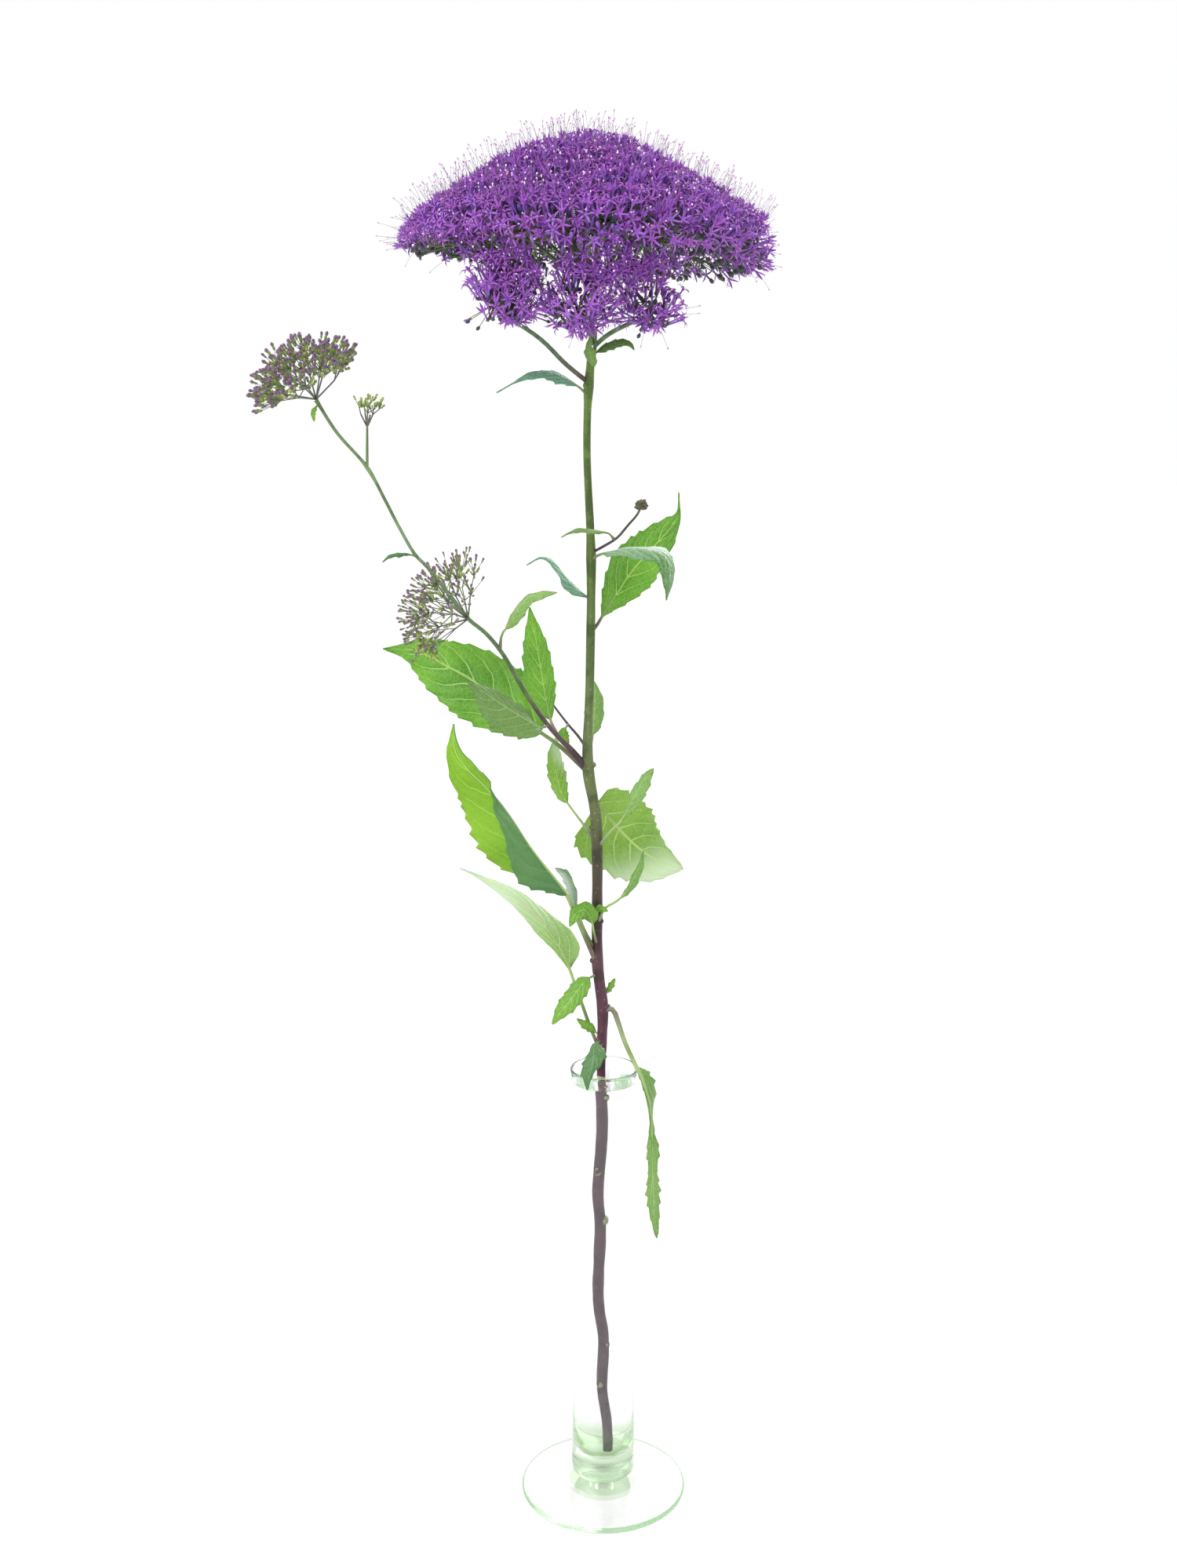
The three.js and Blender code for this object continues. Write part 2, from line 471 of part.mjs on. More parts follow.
function headNormal(x, y) {
  const step = 0.5;
  const slopeX = (headHeight(x + step, y) - headHeight(x - step, y)) / (2 * step);
  const slopeY = (headHeight(x, y + step) - headHeight(x, y - step)) / (2 * step);
  return new THREE.Vector3(-slopeX, -slopeY, 1).normalize();
}

// The shell that the florets grow from, made thicker by extra on both faces
function headCore(extra = 0) {
  const top = -HEAD.floretDepth + extra;
  const bottom = -HEAD.floretDepth - HEAD.shell - extra;
  const rings = CORE.rings.map((radius, i) => radius + (i === CORE.rings.length - 1 ? extra : 0));
  const rim = rings[rings.length - 1];
  const profile = [[0, bottom], ...rings.slice(0, -1).map((radius) => [radius, bottom])];
  profile.push([rim, bottom + 2], [rim, top - 1]);
  profile.push(...rings.slice(0, -1).reverse().map((radius) => [radius, top]), [0, top]);
  const geometry = turned(profile, CORE.sides);
  const position = geometry.attributes.position;
  for (let i = 0; i < position.count; i += 1) {
    const angle = Math.atan2(position.getY(i), position.getX(i));
    const x = HEAD.x + position.getX(i) * headLobes(angle);
    const y = position.getY(i) * HEAD.depth * headLobes(angle);
    position.setXYZ(i, x, y, position.getZ(i) + headHeight(x, y));
  }
  return solidOf(geometry);
}

// One floret: a five-pointed star whose tube narrows to three sides and is rooted below.
// Its star lies at z = 0 and it looks along +Z.
function floretGeometry(radius, depth) {
  const { throat, notch, dish, notchDrop, neckAt, root } = FLORET;
  const corners = [[0, 0, -dish]];
  for (let i = 0; i < 10; i += 1) {
    const reach = i % 2 === 0 ? radius : radius * notch;
    const angle = (Math.PI * i) / 5;
    corners.push([reach * Math.cos(angle), reach * Math.sin(angle), i % 2 === 0 ? 0 : -notchDrop]);
  }
  for (let i = 0; i < 3; i += 1) {
    const angle = (2 * Math.PI * i) / 3;
    corners.push([throat * Math.cos(angle), throat * Math.sin(angle), -depth * neckAt]);
  }
  corners.push([0, 0, -depth - root]);
  const faces = [];
  const star = (i) => 1 + (i % 10);
  const neck = (i) => 11 + (i % 3);
  const tip = corners.length - 1;
  for (let i = 0; i < 10; i += 1) faces.push(0, star(i), star(i + 1));
  for (let i = 0; i < 10; i += 1) {
    const nearest = Math.round((i * 3) / 10);
    const next = Math.round(((i + 1) * 3) / 10);
    faces.push(star(i), neck(nearest), star(i + 1));
    if (next !== nearest) faces.push(star(i + 1), neck(nearest), neck(next));
  }
  for (let i = 0; i < 3; i += 1) faces.push(neck(i), tip, neck(i + 1));
  const geometry = new THREE.BufferGeometry();
  geometry.setAttribute("position", new THREE.Float32BufferAttribute(corners.flat(), 3));
  geometry.setIndex(faces);
  return geometry;
}

// A style: a three-sided needle that stands out of its floret
function styleGeometry(length) {
  return turned([[0, -STYLE.root], [STYLE.radius, -STYLE.root], [0, length]], 3);
}

function headSolid() {
  const random = seededRandom(HEAD.seed);
  const parts = [headCore()];
  const addFloret = (place, normal, depth, hasStyle) => {
    const size = HEAD.floretRadius * (1 + FLORET.size * (random() - 0.5));
    const turn = 2 * Math.PI * random();
    parts.push(solidOf(placed(floretGeometry(size, depth), place, normal, turn)));
    if (hasStyle) parts.push(solidOf(placed(styleGeometry(HEAD.styleLength), place, normal)));
  };
  for (let i = 0; i < HEAD.florets; i += 1) {
    const share = Math.sqrt((i + 0.5) / HEAD.florets);
    const angle = i * GOLDEN_ANGLE + HEAD.turnJitter * (random() - 0.5);
    const reach = HEAD.floretReach * share * headLobes(angle);
    const x = HEAD.x + reach * Math.cos(angle);
    const y = HEAD.depth * reach * Math.sin(angle);
    const lift = HEAD.liftJitter * (random() - 0.5);
    const outward = new THREE.Vector3(Math.cos(angle), Math.sin(angle), 0);
    const normal = headNormal(x, y).addScaledVector(outward, HEAD.edgeLean * share ** 6);
    const place = new THREE.Vector3(x, y, headHeight(x, y) + lift);
    addFloret(place, normal, HEAD.floretDepth + lift, i % HEAD.styleEvery === 0);
  }
  // The rim florets look outward and a little down, and are rooted in the core's edge
  for (let i = 0; i < HEAD.rimFlorets; i += 1) {
    const angle = (2 * Math.PI * i) / HEAD.rimFlorets;
    const reach = HEAD.rimReach * headLobes(angle);
    const [x, y] = [HEAD.x + reach * Math.cos(angle), HEAD.depth * reach * Math.sin(angle)];
    const normal = new THREE.Vector3(Math.cos(angle), Math.sin(angle), HEAD.rimLean[i % 2]);
    const place = new THREE.Vector3(x, y, headHeight(x, y) - HEAD.rimDrop[i % 2]);
    addFloret(place, normal, HEAD.rimDepth, i % 2 === 0);
  }
  return cutFree(joined(parts), []);
}

// A lower side head: florets round a small core, on the side that it faces
function sideCore({ hub, core }, extra = 0) {
  return solidOf(new THREE.IcosahedronGeometry(core + extra, 1).scale(1, 1, 0.85).translate(...hub));
}

function sideHeadSolid(head) {
  const random = seededRandom(head.seed);
  const parts = [sideCore(head)];
  const facing = vector(head.facing).normalize();
  const upright = new THREE.Quaternion().setFromUnitVectors(new THREE.Vector3(0, 0, 1), facing);
  for (let i = 0; i < head.florets; i += 1) {
    const tilt = SIDE_FLORET.spread * Math.sqrt((i + 0.4) / head.florets);
    const normal = tilted(tilt, i * GOLDEN_ANGLE).applyQuaternion(upright);
    const reach = head.core + SIDE_FLORET.depth + SIDE_FLORET.uneven * (random() - 0.3);
    const place = vector(head.hub).addScaledVector(normal, reach);
    const turn = 2 * Math.PI * random();
    const depth = reach - head.core;
    parts.push(solidOf(placed(floretGeometry(SIDE_FLORET.radius, depth), place, normal, turn)));
    if (i % HEAD.styleEvery !== 0) continue;
    parts.push(solidOf(placed(styleGeometry(SIDE_FLORET.style), place, normal)));
  }
  return cutFree(joined(parts), []);
}

// The green rays from the top of the stem up into the dome
function rayRods() {
  const rods = [];
  const stemTop = curveThrough(STEM.path).getPoint(1);
  const sunkAt = (x, y) => [x, y, headHeight(x, y) - HEAD.floretDepth - HEAD.shell * RAYS.sunk];
  const addRay = (angle, reach) => {
    const [x, y] = [HEAD.x + reach * Math.cos(angle), HEAD.depth * reach * Math.sin(angle)];
    const end = sunkAt(x, y);
    const start = THREE.MathUtils.lerp(RAYS.start[1], RAYS.start[0], reach / RAYS.outerReach);
    const across = THREE.MathUtils.lerp(stemTop.x, x, RAYS.bendAcross);
    const middle = [across, y * RAYS.bendAcross, THREE.MathUtils.lerp(start, end[2], RAYS.bendUp)];
    rods.push(taperedRod([[stemTop.x, 0, start - 3], middle, end], [RAYS.root, RAYS.tip], 3, 3));
    if (reach <= RAYS.innerReach) return;
    const { turn, wide, deep, tip } = RAYS.fork;
    const forkX = HEAD.x + reach * wide * Math.cos(angle + turn);
    const forkY = reach * deep * Math.sin(angle + turn);
    rods.push(taperedRod([middle, sunkAt(forkX, forkY)], [RAYS.tip, tip], 3, 1));
  };
  for (let i = 0; i < RAYS.inner; i += 1)
    addRay((2 * Math.PI * i) / RAYS.inner + RAYS.innerTurn, RAYS.innerReach);
  for (let i = 0; i < RAYS.outer; i += 1)
    addRay((2 * Math.PI * i) / RAYS.outer + RAYS.outerTurn, RAYS.outerReach);
  return rods;
}

// The stem with its scars, the rays and the side heads' stalks
function stemSolid() {
  const parts = [stemRod(), ...SCARS.map((scar) => scarSolid(scar)), ...rayRods()];
  const heads = Object.values(SIDE_HEADS);
  heads.forEach(({ stalk }) => parts.push(taperedRod(stalk, SIDE_STALK_RADII, 4, 4)));
  return cutFree(joined(parts), [headCore(GAP), ...heads.map((head) => sideCore(head, GAP))]);
}

// Branch, side stalk and twigs
function branchRods(makeRod) {
  const branch = makeRod(BRANCH.path, BRANCH.radii, BRANCH.sides, BRANCH.steps);
  return branch.add(makeRod(SIDE_STALK.path, SIDE_STALK.radii, 4, 3));
}

// Bud head: rays from a hub, each ending in a knot that carries a bunch of stalked buds
function budGeometry() {
  const { radius, length, stalk, stalkRadius } = BUD;
  return turned([[0, 0], [stalkRadius, stalk], [radius, stalk + length * 0.6], [0, stalk + length]], 3);
}

function budHeadSolid({ hub, axis, reach, spread, rays, buds, seed }) {
  const random = seededRandom(seed);
  const centre = vector(hub);
  const upright = new THREE.Quaternion().setFromUnitVectors(
    new THREE.Vector3(0, 0, 1),
    vector(axis).normalize(),
  );
  const parts = [solidOf(new THREE.OctahedronGeometry(BUD.hub, 0).translate(...hub))];
  const budReach = BUD.stalk + BUD.length;
  for (let i = 0; i < rays; i += 1) {
    const tilt = spread * Math.sqrt((i + 0.3) / rays);
    const way = tilted(tilt, i * GOLDEN_ANGLE).applyQuaternion(upright);
    const length = (reach - budReach) * (0.88 + 0.24 * random());
    const knot = centre.clone().addScaledVector(way, length);
    parts.push(taperedRod([hub, knot.toArray()], [BUD.ray * 1.3, BUD.ray], 3, 1));
    parts.push(solidOf(new THREE.OctahedronGeometry(BUD.knot, 0).translate(knot.x, knot.y, knot.z)));
    const fan = new THREE.Quaternion().setFromUnitVectors(new THREE.Vector3(0, 0, 1), way);
    for (let k = 0; k < buds; k += 1) {
      const lean = k === 0 ? BUD.middleLean : BUD.outerLean;
      const out = tilted(lean, (2 * Math.PI * k) / (buds - 1) + random()).applyQuaternion(fan);
      const size = 0.85 + 0.3 * random();
      parts.push(solidOf(placed(budGeometry().scale(1, 1, size), knot, out)));
    }
  }
  return joined(parts);
}

function budTwigSolid() {
  const random = seededRandom(BUD_CLUSTER.seed);
  const parts = [taperedRod(RIGHT_TWIG.path, RIGHT_TWIG.radii, 5, 8)];
  const end = vector(RIGHT_TWIG.path[RIGHT_TWIG.path.length - 1]);
  for (let i = 0; i < BUD_CLUSTER.count; i += 1) {
    const way = tilted(BUD_CLUSTER.spread * Math.sqrt(i / BUD_CLUSTER.count), i * GOLDEN_ANGLE);
    const place = end.clone().addScaledVector(way, BUD_CLUSTER.reach + 0.4 * random());
    parts.push(solidOf(placed(new THREE.OctahedronGeometry(BUD_CLUSTER.radius, 0), place, way)));
  }
  return cutFree(joined(parts), []);
}

// Leaves
function leafGeometry({ rib, stalk, half, teeth, shape, facing, droop, wave, ridge = BLADE.ridge }) {
  const curve = curveThrough(rib);
  const [rise, fade] = shape;
  const peak = rise / (rise + fade);
  const fullness = (t) => (t ** rise * (1 - t) ** fade) / (peak ** rise * (1 - peak) ** fade);
  const facingAt = (u) => {
    const place = u * (facing.length - 1);
    const i = Math.min(Math.floor(place), facing.length - 2);
    if (facing.length === 1) return vector(facing[0]);
    return vector(facing[i]).lerp(vector(facing[i + 1]), place - i);
  };
  // The frame at a share u of the rib: point, upper normal and the way to the left edge
  const frameAt = (u) => {
    const point = curve.getPointAt(Math.min(u, 1));
    const ahead = curve.getTangentAt(Math.min(u, 1));
    const normal = facingAt(u);
    normal.addScaledVector(ahead, -normal.dot(ahead)).normalize();
    return { point, normal, side: new THREE.Vector3().crossVectors(normal, ahead) };
  };
  const corners = [];
  const faces = [];
  const put = (point) => {
    corners.push(point.x, point.y, point.z);
    return corners.length / 3 - 1;
  };
  const ribPair = (u, thick) => {
    const { point, normal } = frameAt(u);
    return [
      put(point.clone().addScaledVector(normal, thick / 2 + ridge * 0.5)),
      put(point.clone().addScaledVector(normal, -thick / 2 - ridge)),
    ];
  };
  const edgePair = (u, width, hand, thick, lift) => {
    const { point, normal, side } = frameAt(u);
    const fold = THREE.MathUtils.degToRad(droop[hand > 0 ? 0 : 1]);
    const [cosine, sine] = [Math.cos(fold), Math.sin(fold)];
    const across = side.clone().multiplyScalar(hand * cosine).addScaledVector(normal, -sine);
    const up = normal.clone().multiplyScalar(cosine).addScaledVector(side, hand * sine);
    const edge = point.clone().addScaledVector(across, width).addScaledVector(up, lift);
    return [
      put(edge.clone().addScaledVector(up, thick / 2)),
      put(edge.clone().addScaledVector(up, -thick / 2)),
    ];
  };
  // A triangle on the upper face and its twin on the lower one
  const twin = (hand, a, b, c) => {
    if (hand > 0) faces.push(a[0], b[0], c[0], a[1], c[1], b[1]);
    else faces.push(a[0], c[0], b[0], a[1], b[1], c[1]);
  };
  const wall = (hand, a, b) => {
    if (hand > 0) faces.push(a[0], b[0], a[1], b[0], b[1], a[1]);
    else faces.push(a[0], a[1], b[0], b[0], a[1], b[1]);
  };
  const stalkSteps = Math.max(1, Math.round((curve.getLength() * stalk) / BLADE.stalkStep));
  const stations = [];
  for (let i = 0; i < stalkSteps; i += 1)
    stations.push({ u: (stalk * i) / stalkSteps, width: BLADE.stalkRadius, thick: BLADE.stalkRadius * 1.5 });
  for (let i = 0; i <= teeth; i += 1) {
    const t = i / teeth;
    const full = i === 0 ? BLADE.stalkRadius : Math.max(half * fullness(t) * BLADE.notch, BLADE.tip);
    stations.push({ u: stalk + (1 - stalk) * t, width: full, thick: BLADE.thick });
  }
  const lift = (t, hand) => {
    return wave * Math.sin(t * BLADE.waves + hand * BLADE.phase) * Math.min(1, 4 * t * (1 - t));
  };
  const bladeShare = (u) => THREE.MathUtils.clamp((u - stalk) / (1 - stalk), 0, 1);
  const ribs = stations.map(({ u, thick }) => ribPair(u, thick));
  const ends = [];
  [1, -1].forEach((hand) => {
    const notches = stations.map(({ u, width, thick }) => {
      return edgePair(u, width, hand, thick, lift(bladeShare(u), hand));
    });
    for (let i = 0; i + 1 < stations.length; i += 1) {
      if (i < stalkSteps) {
        twin(hand, ribs[i], ribs[i + 1], notches[i]);
        twin(hand, ribs[i + 1], notches[i + 1], notches[i]);
        wall(hand, notches[i], notches[i + 1]);
      } else {
        const t = (i - stalkSteps + BLADE.lean) / teeth;
        const width = Math.max(half * fullness(t) * BLADE.point, BLADE.tip);
        const tooth = edgePair(stalk + (1 - stalk) * t, width, hand, BLADE.thick, lift(t, hand));
        twin(hand, ribs[i], tooth, notches[i]);
        twin(hand, ribs[i], ribs[i + 1], tooth);
        twin(hand, ribs[i + 1], notches[i + 1], tooth);
        wall(hand, notches[i], tooth);
        wall(hand, tooth, notches[i + 1]);
      }
    }
    ends.push([notches[0], notches[notches.length - 1]]);
  });
  // Flat ends: each is the ring of six corners at that station
  const cap = (ring) => {
    for (let i = 1; i < 5; i += 1) faces.push(ring[0], ring[i], ring[i + 1]);
  };
  const [left, right] = ends;
  const last = ribs.length - 1;
  cap([ribs[0][0], left[0][0], left[0][1], ribs[0][1], right[0][1], right[0][0]]);
  cap([ribs[last][0], right[1][0], right[1][1], ribs[last][1], left[1][1], left[1][0]]);
  const geometry = new THREE.BufferGeometry();
  geometry.setAttribute("position", new THREE.Float32BufferAttribute(corners, 3));
  geometry.setIndex(faces);
  return geometry;
}

// The whole object
const object = new THREE.Group();
const finishes = {
  glass: finish(COLOUR.glass, 0.05),
  water: finish(COLOUR.water, 0.02),
  stem: finish(COLOUR.stem, 0.55),
  branch: finish(COLOUR.branch, 0.55),
  petal: finish(COLOUR.petal, 0.6),
  bud: finish(COLOUR.bud, 0.6),
  leaf: finish(COLOUR.leaf, 0.5),
  paleLeaf: finish(COLOUR.paleLeaf, 0.5),
  greyLeaf: finish(COLOUR.greyLeaf, 0.5),
};
const stemClear = stemRoom();
const branch = cutFree(branchRods(taperedRod), [stemClear]);
const branchClear = branchRods(rodRoom);
const rightTwig = cutFree(budTwigSolid(), [stemClear]);
const rightTwigClear = rodRoom(RIGHT_TWIG.path, RIGHT_TWIG.radii, 5, 8);
const leftTwig = cutFree(taperedRod(LEFT_TWIG.path, LEFT_TWIG.radii, 5, 6), [stemClear, branchClear]);
const leftTwigClear = rodRoom(LEFT_TWIG.path, LEFT_TWIG.radii, 5, 6);

object.add(meshOf("glass_vase", vaseSolid(), finishes.glass));
object.add(meshOf("water", waterSolid(), finishes.water));
object.add(meshOf("main_stem", stemSolid(), finishes.stem));
object.add(meshOf("left_branch", branch, finishes.branch));
object.add(meshOf("bud_twig_right", rightTwig, finishes.branch));
object.add(meshOf("twig_left", leftTwig, finishes.branch));
object.add(meshOf("bloom_dome", headSolid(), finishes.petal));
Object.entries(SIDE_HEADS).forEach(([name, head]) => {
  object.add(meshOf("bloom_" + name, sideHeadSolid(head), finishes.petal));
});
Object.entries(BUD_HEADS).forEach(([name, head]) => {
  object.add(meshOf(name, cutFree(budHeadSolid(head), [branchClear]), finishes.bud));
});
const carriers = [stemClear, branchClear, rightTwigClear, leftTwigClear];
Object.entries(LEAVES).forEach(([name, leaf]) => {
  object.add(meshOf(name, cutFree(solidOf(leafGeometry(leaf)), carriers), finishes[leaf.colour]));
});

export default object;
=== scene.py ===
# %% [markdown]
# # A cut throatwort stem in a glass bud vase
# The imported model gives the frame: where the vase, stem, leaves and flower heads are. This lesson
# dresses it. Each plain solid is replaced by a finer piece that keeps its place and its form.

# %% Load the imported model
import math
import random

import bmesh
import bpy
import numpy as np
from mathutils import Matrix, Quaternion, Vector, noise


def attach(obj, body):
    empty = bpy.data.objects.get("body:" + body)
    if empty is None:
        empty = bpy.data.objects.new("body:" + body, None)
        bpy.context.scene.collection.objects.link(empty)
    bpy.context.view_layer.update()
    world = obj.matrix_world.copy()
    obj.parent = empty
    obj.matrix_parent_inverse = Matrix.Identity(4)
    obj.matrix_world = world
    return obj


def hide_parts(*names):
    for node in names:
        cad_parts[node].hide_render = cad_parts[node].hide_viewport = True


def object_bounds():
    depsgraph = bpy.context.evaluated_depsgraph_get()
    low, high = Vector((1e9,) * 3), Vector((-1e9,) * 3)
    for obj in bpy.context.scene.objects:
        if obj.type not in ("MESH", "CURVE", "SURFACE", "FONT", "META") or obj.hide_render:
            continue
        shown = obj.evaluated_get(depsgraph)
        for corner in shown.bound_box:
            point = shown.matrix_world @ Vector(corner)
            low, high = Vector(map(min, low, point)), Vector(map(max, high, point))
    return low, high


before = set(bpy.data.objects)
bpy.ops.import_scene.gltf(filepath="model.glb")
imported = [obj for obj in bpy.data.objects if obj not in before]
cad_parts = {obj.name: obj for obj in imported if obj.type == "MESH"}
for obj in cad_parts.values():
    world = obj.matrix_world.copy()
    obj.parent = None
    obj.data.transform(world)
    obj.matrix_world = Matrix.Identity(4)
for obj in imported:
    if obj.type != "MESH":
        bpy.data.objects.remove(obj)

cad_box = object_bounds()
MM = 0.001
GOLDEN_ANGLE = math.pi * (3 - math.sqrt(5))
print("CAD nodes:", len(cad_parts), "box", [list(corner) for corner in cad_box])

# %% [markdown]
# ## The camera
# The stem was seen from a little above the middle of its height, close enough that the vase's foot
# shows as a wide ellipse while the flower head shows a bit of its underside. A camera set by its
# distance, height and tilt gives that view at once. Its lens comes from the picture's tall side,
# because the sensor's 36 mm lie along the longer side.

# %% Camera
CAMERA_PLACE, LOOKS_DOWN = (-0.0065, -0.690, 0.458), 11.47
bpy.ops.object.camera_add(location=CAMERA_PLACE, rotation=(math.radians(90 - LOOKS_DOWN), 0, 0))
camera = bpy.context.object
camera.name = "camera"
SENSOR, FOCAL_PIXELS, PICTURE_HEIGHT = 36, 2200, 1999
camera.data.sensor_width = SENSOR
camera.data.lens = SENSOR * FOCAL_PIXELS / PICTURE_HEIGHT
bpy.context.scene.camera = camera
print("lens", round(camera.data.lens, 2), "mm")

# %% [markdown]
# ## Paths to grow along
# Stems, stalks and leaf ribs are smooth lines through a few measured points. A centripetal curve
# passes through every point without loops, and measuring it along its length spaces the rings and
# the leaf teeth evenly.

# %% A smooth path, measured along its length
class Path:
    """A smooth curve through points given in millimetres; at and way take a share of its length."""

    def __init__(self, points, samples=16):
        p = np.array(points, float) * MM
        p = np.vstack([2 * p[0] - p[1], p, 2 * p[-1] - p[-2]])
        line = []
        for a, b, c, d in zip(p, p[1:], p[2:], p[3:]):
            ab, bc, cd = (math.sqrt(np.linalg.norm(v)) for v in (b - a, c - b, d - c))
            out = ((b - a) / ab - (c - a) / (ab + bc) + (c - b) / bc) * bc
            into = ((c - b) / bc - (d - b) / (bc + cd) + (d - c) / cd) * bc
            for w in np.arange(samples) / samples:
                bend = (3 * (c - b) - 2 * out - into) * w**2
                line.append(b + out * w + bend + (2 * (b - c) + out + into) * w**3)
        line.append(p[-2])
        self.line = np.array(line)
        steps = np.linalg.norm(np.diff(self.line, axis=0), axis=1)
        self.share = np.concatenate([[0], np.cumsum(steps)]) / steps.sum()
        self.length = steps.sum()

    def at(self, u):
        return Vector([np.interp(u, self.share, self.line[:, k]) for k in range(3)])

    def way(self, u):
        step = 0.01
        return (self.at(min(1, u + step)) - self.at(max(0, u - step))).normalized()


# %% [markdown]
# ## Growing a stalk
# A stalk starts as a disc. The disc is extruded ring by ring, as one would by hand, and each new
# ring is turned square to the path and scaled to the stalk's thickness there. A bevelled curve would
# be quicker, but the rings give every joint and swelling its own radius.

# %% Small tools for modelling
def start_fresh():
    """Leaves nothing selected, so that an operator only acts on what comes next."""
    bpy.ops.object.select_all(action="DESELECT")


def named(name):
    """Names the object that an operator has just made."""
    piece = bpy.context.object
    piece.name = piece.data.name = name
    return piece


def carried_frames(path, steps):
    """Points along a path and the turns that keep a ring square to it without twisting."""
    shares = [i / steps for i in range(steps + 1)]
    ways = [path.way(u) for u in shares]
    turn = Vector((0, 0, 1)).rotation_difference(ways[0])
    turns = [turn.to_matrix()]
    for before, after in zip(ways, ways[1:]):
        turn = before.rotation_difference(after) @ turn
        turns.append(turn.to_matrix())
    return [path.at(u) for u in shares], turns


def grow_rod(name, path, radius_at, sides, steps):
    """Extrudes a disc along a path; radius_at gives the radius in metres at a share and a point."""
    start_fresh()
    points, turns = carried_frames(path, steps)
    radii = [radius_at(i / steps, points[i]) for i in range(steps + 1)]
    bpy.ops.mesh.primitive_circle_add(vertices=sides, radius=radii[0], fill_type="NGON")
    rod = named(name)
    rod.data.transform(Matrix.Translation(points[0]) @ turns[0].to_4x4())
    bpy.ops.object.mode_set(mode="EDIT")
    bpy.ops.mesh.select_all(action="SELECT")
    for i in range(1, steps + 1):
        bpy.ops.mesh.extrude_region_move()
        turn = turns[i] @ turns[i - 1].transposed() * (radii[i] / radii[i - 1])
        shape = bmesh.from_edit_mesh(rod.data)
        for corner in shape.verts:
            if corner.select:
                corner.co = points[i] + turn @ (corner.co - points[i - 1])
        bmesh.update_edit_mesh(rod.data)
    bpy.ops.mesh.select_all(action="SELECT")
    bpy.ops.mesh.normals_make_consistent(inside=False)
    bpy.ops.object.mode_set(mode="OBJECT")
    bpy.ops.object.shade_smooth()
    return rod


def along(table, x):
    """Value at x on a line through a table's [x, value] pairs."""
    return float(np.interp(x, [row[0] for row in table], [row[1] for row in table]))


def join(pieces, name):
    """Joins pieces into the first one."""
    start_fresh()
    for piece in pieces:
        piece.select_set(True)
    bpy.context.view_layer.objects.active = pieces[0]
    bpy.ops.object.join()
    return named(name)


# %% [markdown]
# ## Turning on the wheel
# A blown vase is round, so its outline is drawn once, point by point, and spun about the upright
# axis. Doubles are merged where the outline meets the axis and where the turn closes.

# %% Spin an outline
def spun(name, outline, steps):
    """Extrudes a point through the outline's (radius, height) pairs in millimetres, then spins it."""
    start_fresh()
    bpy.ops.mesh.primitive_circle_add(vertices=3, radius=MM)
    piece = named(name)
    bpy.ops.object.mode_set(mode="EDIT")
    bpy.ops.mesh.select_all(action="SELECT")
    bpy.ops.mesh.merge(type="CENTER")
    last = Vector((0, 0, 0))
    for i, (radius, height) in enumerate(outline):
        place = Vector((radius, 0, height)) * MM
        if i == 0:
            bpy.ops.transform.translate(value=place - last)
        else:
            bpy.ops.mesh.extrude_region_move(TRANSFORM_OT_translate={"value": place - last})
        last = place
    bpy.ops.mesh.select_all(action="SELECT")
    bpy.ops.mesh.spin(steps=steps, angle=2 * math.pi, center=(0, 0, 0), axis=(0, 0, 1))
    bpy.ops.mesh.select_all(action="SELECT")
    bpy.ops.mesh.remove_doubles(threshold=MM / 50)
    bpy.ops.mesh.normals_make_consistent(inside=False)
    bpy.ops.object.mode_set(mode="OBJECT")
    bpy.ops.object.shade_smooth_by_angle(angle=math.radians(50))
    return piece


def rounded(outline, rounds=2):
    """Cuts the corners of an open outline, so that it turns softly."""
    for _ in range(rounds):
        cut = [outline[0]]
        for (r0, z0), (r1, z1) in zip(outline, outline[1:]):
            cut.append((0.75 * r0 + 0.25 * r1, 0.75 * z0 + 0.25 * z1))
            cut.append((0.25 * r0 + 0.75 * r1, 0.25 * z0 + 0.75 * z1))
        outline = cut + [outline[-1]]
    return outline


# %% [markdown]
# ## Repeating a small shape
# A flower head holds more than a thousand florets. The floret is modelled once, and its mesh is then
# stamped at every place: turned, scaled and added to one mesh, with a number for each copy that its
# colour can vary with.

# %% Stamp copies of a small mesh
def master_arrays(piece):
    """The points, faces and shade of a small model in millimetres, which is then removed."""
    mesh = piece.data
    points = np.array([v.co for v in mesh.vertices], float)
    faces = [list(face.vertices) for face in mesh.polygons]
    shade = np.zeros(len(points))
    if "shade" in mesh.attributes:
        mesh.attributes["shade"].data.foreach_get("value", shade)
    bpy.data.objects.remove(piece)
    return points, faces, shade


